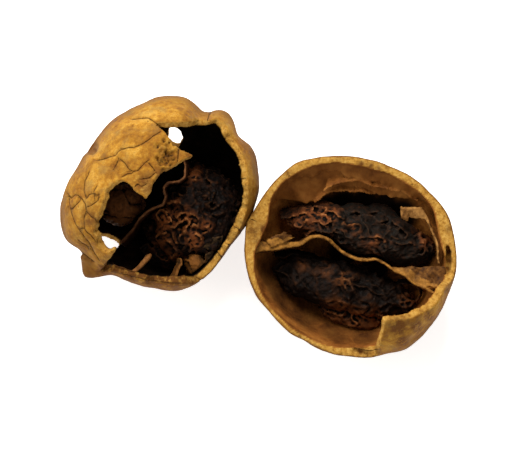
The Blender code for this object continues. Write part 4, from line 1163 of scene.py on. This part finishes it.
# Lining of the right part: the bowl's smooth brown inner skin. On the far wall it has come away from the
# shell and overhangs the kernel in two torn layers, like a ledge.
LINING_FROM, LINING_TO = 33, 146  # degrees round the bowl
LINING_EDGE = [
    (33, 15.2, 3.2), (50, 13.8, 4.2), (68, 12.4, 5.4), (96, 12.3, 5.8), (121, 12.0, 5.6), (132, 12.8, 5.2),
    (146, 14.6, 4.6),
]
UPPER_LAYER = [
    (33, 16.2, 2.4), (50, 15.4, 2.7), (68, 14.6, 2.6), (84, 13.8, 2.5), (96, 15.6, 1.9), (146, 17.4, 1.9),
]
LINING_TOP = 0.3
LINING_TEAR = 0.9
SKIN = 0.6


def ledge(nut, edge, top, seed):
    """A layer of skin from the wall just under the rim in to its torn edge."""
    bm, along, down, side = slab(220, 26)
    angles, radii, depths = zip(*edge)
    degrees = LINING_FROM + (LINING_TO - LINING_FROM) * along
    angle = np.radians(degrees)
    line = np.stack([degrees * 0.3 * MM, 0 * degrees, 0 * degrees], axis=1)
    tear = LINING_TEAR * (noise_at(line, 2.2 * MM, seed) + 0.5 * noise_at(line, 0.8 * MM, seed + 1))
    foot = np.interp(degrees, angles, depths) + 0.4 * tear
    height = -(top + (foot - top) * down) * MM
    wall = nut.radius(angle) - nut.wall(angle, height)
    rim = wall * np.sqrt(1 - (height / (nut.depth - WALL)) ** 2) + 0.2 * MM
    inner = (np.interp(degrees, angles, radii) - tear) * MM
    ends = smooth_between(np.minimum(along, 1 - along), 0.0, 0.17)
    radius = rim + (np.minimum(inner, rim) - rim) * down**1.3 * ends
    height = height + side * SKIN / 2 * MM
    return bm, np.stack([radius * np.cos(angle), radius * np.sin(angle), height], axis=1)


bodies = []
for edge, top, seed in ((LINING_EDGE, LINING_TOP + 0.5, 170), (UPPER_LAYER, LINING_TOP, 180)):
    bm, points = ledge(right_nut, edge, top, seed)
    move_verts(bm, right_nut.keep_in(points, -0.3 * MM))
    bmesh.ops.recalc_face_normals(bm, faces=bm.faces)
    bodies.append(bm)
LAYERS = [
    [(-4.6, 11.8, 0.2, -2.6), (-2.9, 13.1, 0.2, -2.4), (-0.3, 13.6, 0.2, -2.2), (2.5, 13.4, 0.2, -2.2),
     (4.9, 12.4, 0.2, -2.6)],
    [(-6.2, 9.9, 0.2, -5.0), (-4.9, 11.0, 0.2, -4.6), (-2.9, 11.8, 0.2, -4.2), (-0.3, 12.0, 0.2, -4.0),
     (1.6, 11.6, 0.2, -4.2), (3.4, 11.5, 0.2, -4.4), (5.2, 11.8, 0.2, -4.6)],
    [(3.4, 12.8, 0.2, -3.0), (5.6, 12.6, 0.2, -2.6), (7.7, 12.2, 0.2, -2.4), (10.0, 11.3, 0.2, -2.2),
     (12.6, 10.2, 0.2, -2.2)],
]
for i, path in enumerate(LAYERS):
    bodies.append(blade(right_nut, path, drop=1.3, lean=1.8, wave=0.5, seed=700 + 10 * i, tapered=True))
    move_verts(bodies[-1], right_nut.keep_in(bm_points(bodies[-1]), -0.3 * MM))
mesh = carved(bodies, PAPER_GRAIN)
points, normals = points_of(mesh), normals_of(mesh)
raised = 0.16 * MM * noise_at(points, 3.0 * MM, 190) + 0.03 * MM * noise_at(points, 0.8 * MM, 191)
# Steep faces, the torn edges of the layers, are painted pale as a painted highlight.
store(mesh, "pale_edge_and_highlight", np.clip(1 - np.abs(normals[:, 2]) * 1.4, 0, 1))
points = right_nut.keep_in(points + normals * raised[:, None], -0.3 * MM)
lining = add_piece("lining_right", right_nut, mesh, points, paper_finish(
    "brown_lining", (0.16, 0.052, 0.010), (0.27, 0.098, 0.019), (0.38, 0.155, 0.034), (0.42, 0.19, 0.05), 2.4,
))
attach(lining, "root")
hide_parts("right_lining")

# Curl of the right lining: thin papery skin whose free end has sprung away from the wall on the right and
# rolled over on itself.
CURL = [
    (16.2, -1.2, 0.18, -1.0), (16.1, 1.2, 0.18, -1.0), (15.5, 3.4, 0.18, -0.9), (14.9, 5.2, 0.2, -0.8),
    (13.8, 7.2, 0.25, -0.6), (12.9, 8.9, 0.25, -0.7),
]
CURL_FOLDS = [
    [(9.9, 9.0, -0.8), (12.9, 8.9, -0.5), (14.4, 6.8, -1.2), (11.2, 7.1, -1.6)],
    [(9.2, 9.0, -1.0), (10.8, 8.5, -0.6), (10.7, 6.6, -1.8), (9.5, 7.1, -2.6)],
    [(9.4, 8.6, -1.2), (9.6, 7.2, -1.2), (10.6, 6.4, -3.0), (9.8, 7.6, -3.2)],
]
folded = [sheet(corners, 0.2, 0.2, 0.1, 600 + 10 * i) for i, corners in enumerate(CURL_FOLDS)]
mesh = carved([blade(right_nut, CURL, foot=-3.6, seed=200, softness=0.04)] + folded, PAPER_GRAIN)
points = papery(mesh, right_nut, CURL, 202)
curl = add_piece("lining_curl_right", right_nut, mesh, points, paper_finish(
    "pale_curl", (0.12, 0.048, 0.013), (0.26, 0.12, 0.032), (0.38, 0.19, 0.055), (0.42, 0.21, 0.06),
))
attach(curl, "root")
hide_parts("right_lining_curl")

# Floor, light and camera: a white table under broad soft light from above and behind, seen almost from above.
# The camera stands at the photograph's angle, in line with both open mouths.
bm = bmesh.new()
bmesh.ops.create_grid(bm, x_segments=1, y_segments=1, size=1.5)
mesh = bpy.data.meshes.new("table_top")
bm.to_mesh(mesh)
bm.free()
table_top = bpy.data.objects.new("table_top", mesh)
bpy.context.scene.collection.objects.link(table_top)
paint = Look("white_table", 0.1)
paint.set("Base Color", (0.9, 0.9, 0.9))
paint.set("Roughness", 0.9)
paint.set("Emission Color", (1, 1, 1))
paint.set("Emission Strength", 0.72)
mesh.materials.append(paint.material)

world = bpy.data.worlds.new("soft_room")
world.use_nodes = True
glow = world.node_tree.nodes["Background"].inputs
glow["Color"].default_value = (1.0, 0.97, 0.91, 1)
glow["Strength"].default_value = 0.40
bpy.context.scene.world = world
for name, spot, size, watts in (
    ("soft_box_back", (-0.05, 0.30, 0.50), 0.30, 3.5),
    ("soft_box_left", (-0.4, 0.05, 0.35), 0.4, 0.9),
):
    light = bpy.data.lights.new(name, "AREA")
    light.shape, light.size, light.energy = "DISK", size, watts
    light.color = (1.0, 0.96, 0.88)
    lamp = bpy.data.objects.new(name, light)
    lamp.location = spot
    lamp.rotation_euler = (Vector((0, 0, 0.01)) - Vector(spot)).to_track_quat("-Z", "Y").to_euler()
    bpy.context.scene.collection.objects.link(lamp)

ELEVATION = math.radians(78)
LENS = 420.0
SENSOR = 36.0
VIEW_WIDTH = 0.0916
lens = bpy.data.cameras.new("camera")
lens.lens, lens.sensor_width = LENS, SENSOR
lens.clip_start = 0.01
camera = bpy.data.objects.new("camera", lens)
aim = Vector((-0.00062, 0.00018, 0.0168))
camera.location = aim + VIEW_WIDTH * LENS / SENSOR * Vector((0, -math.cos(ELEVATION), math.sin(ELEVATION)))
camera.rotation_euler = (math.pi / 2 - ELEVATION, 0, 0)
bpy.context.scene.collection.objects.link(camera)
bpy.context.scene.camera = camera
bpy.context.scene.view_settings.view_transform = "Standard"
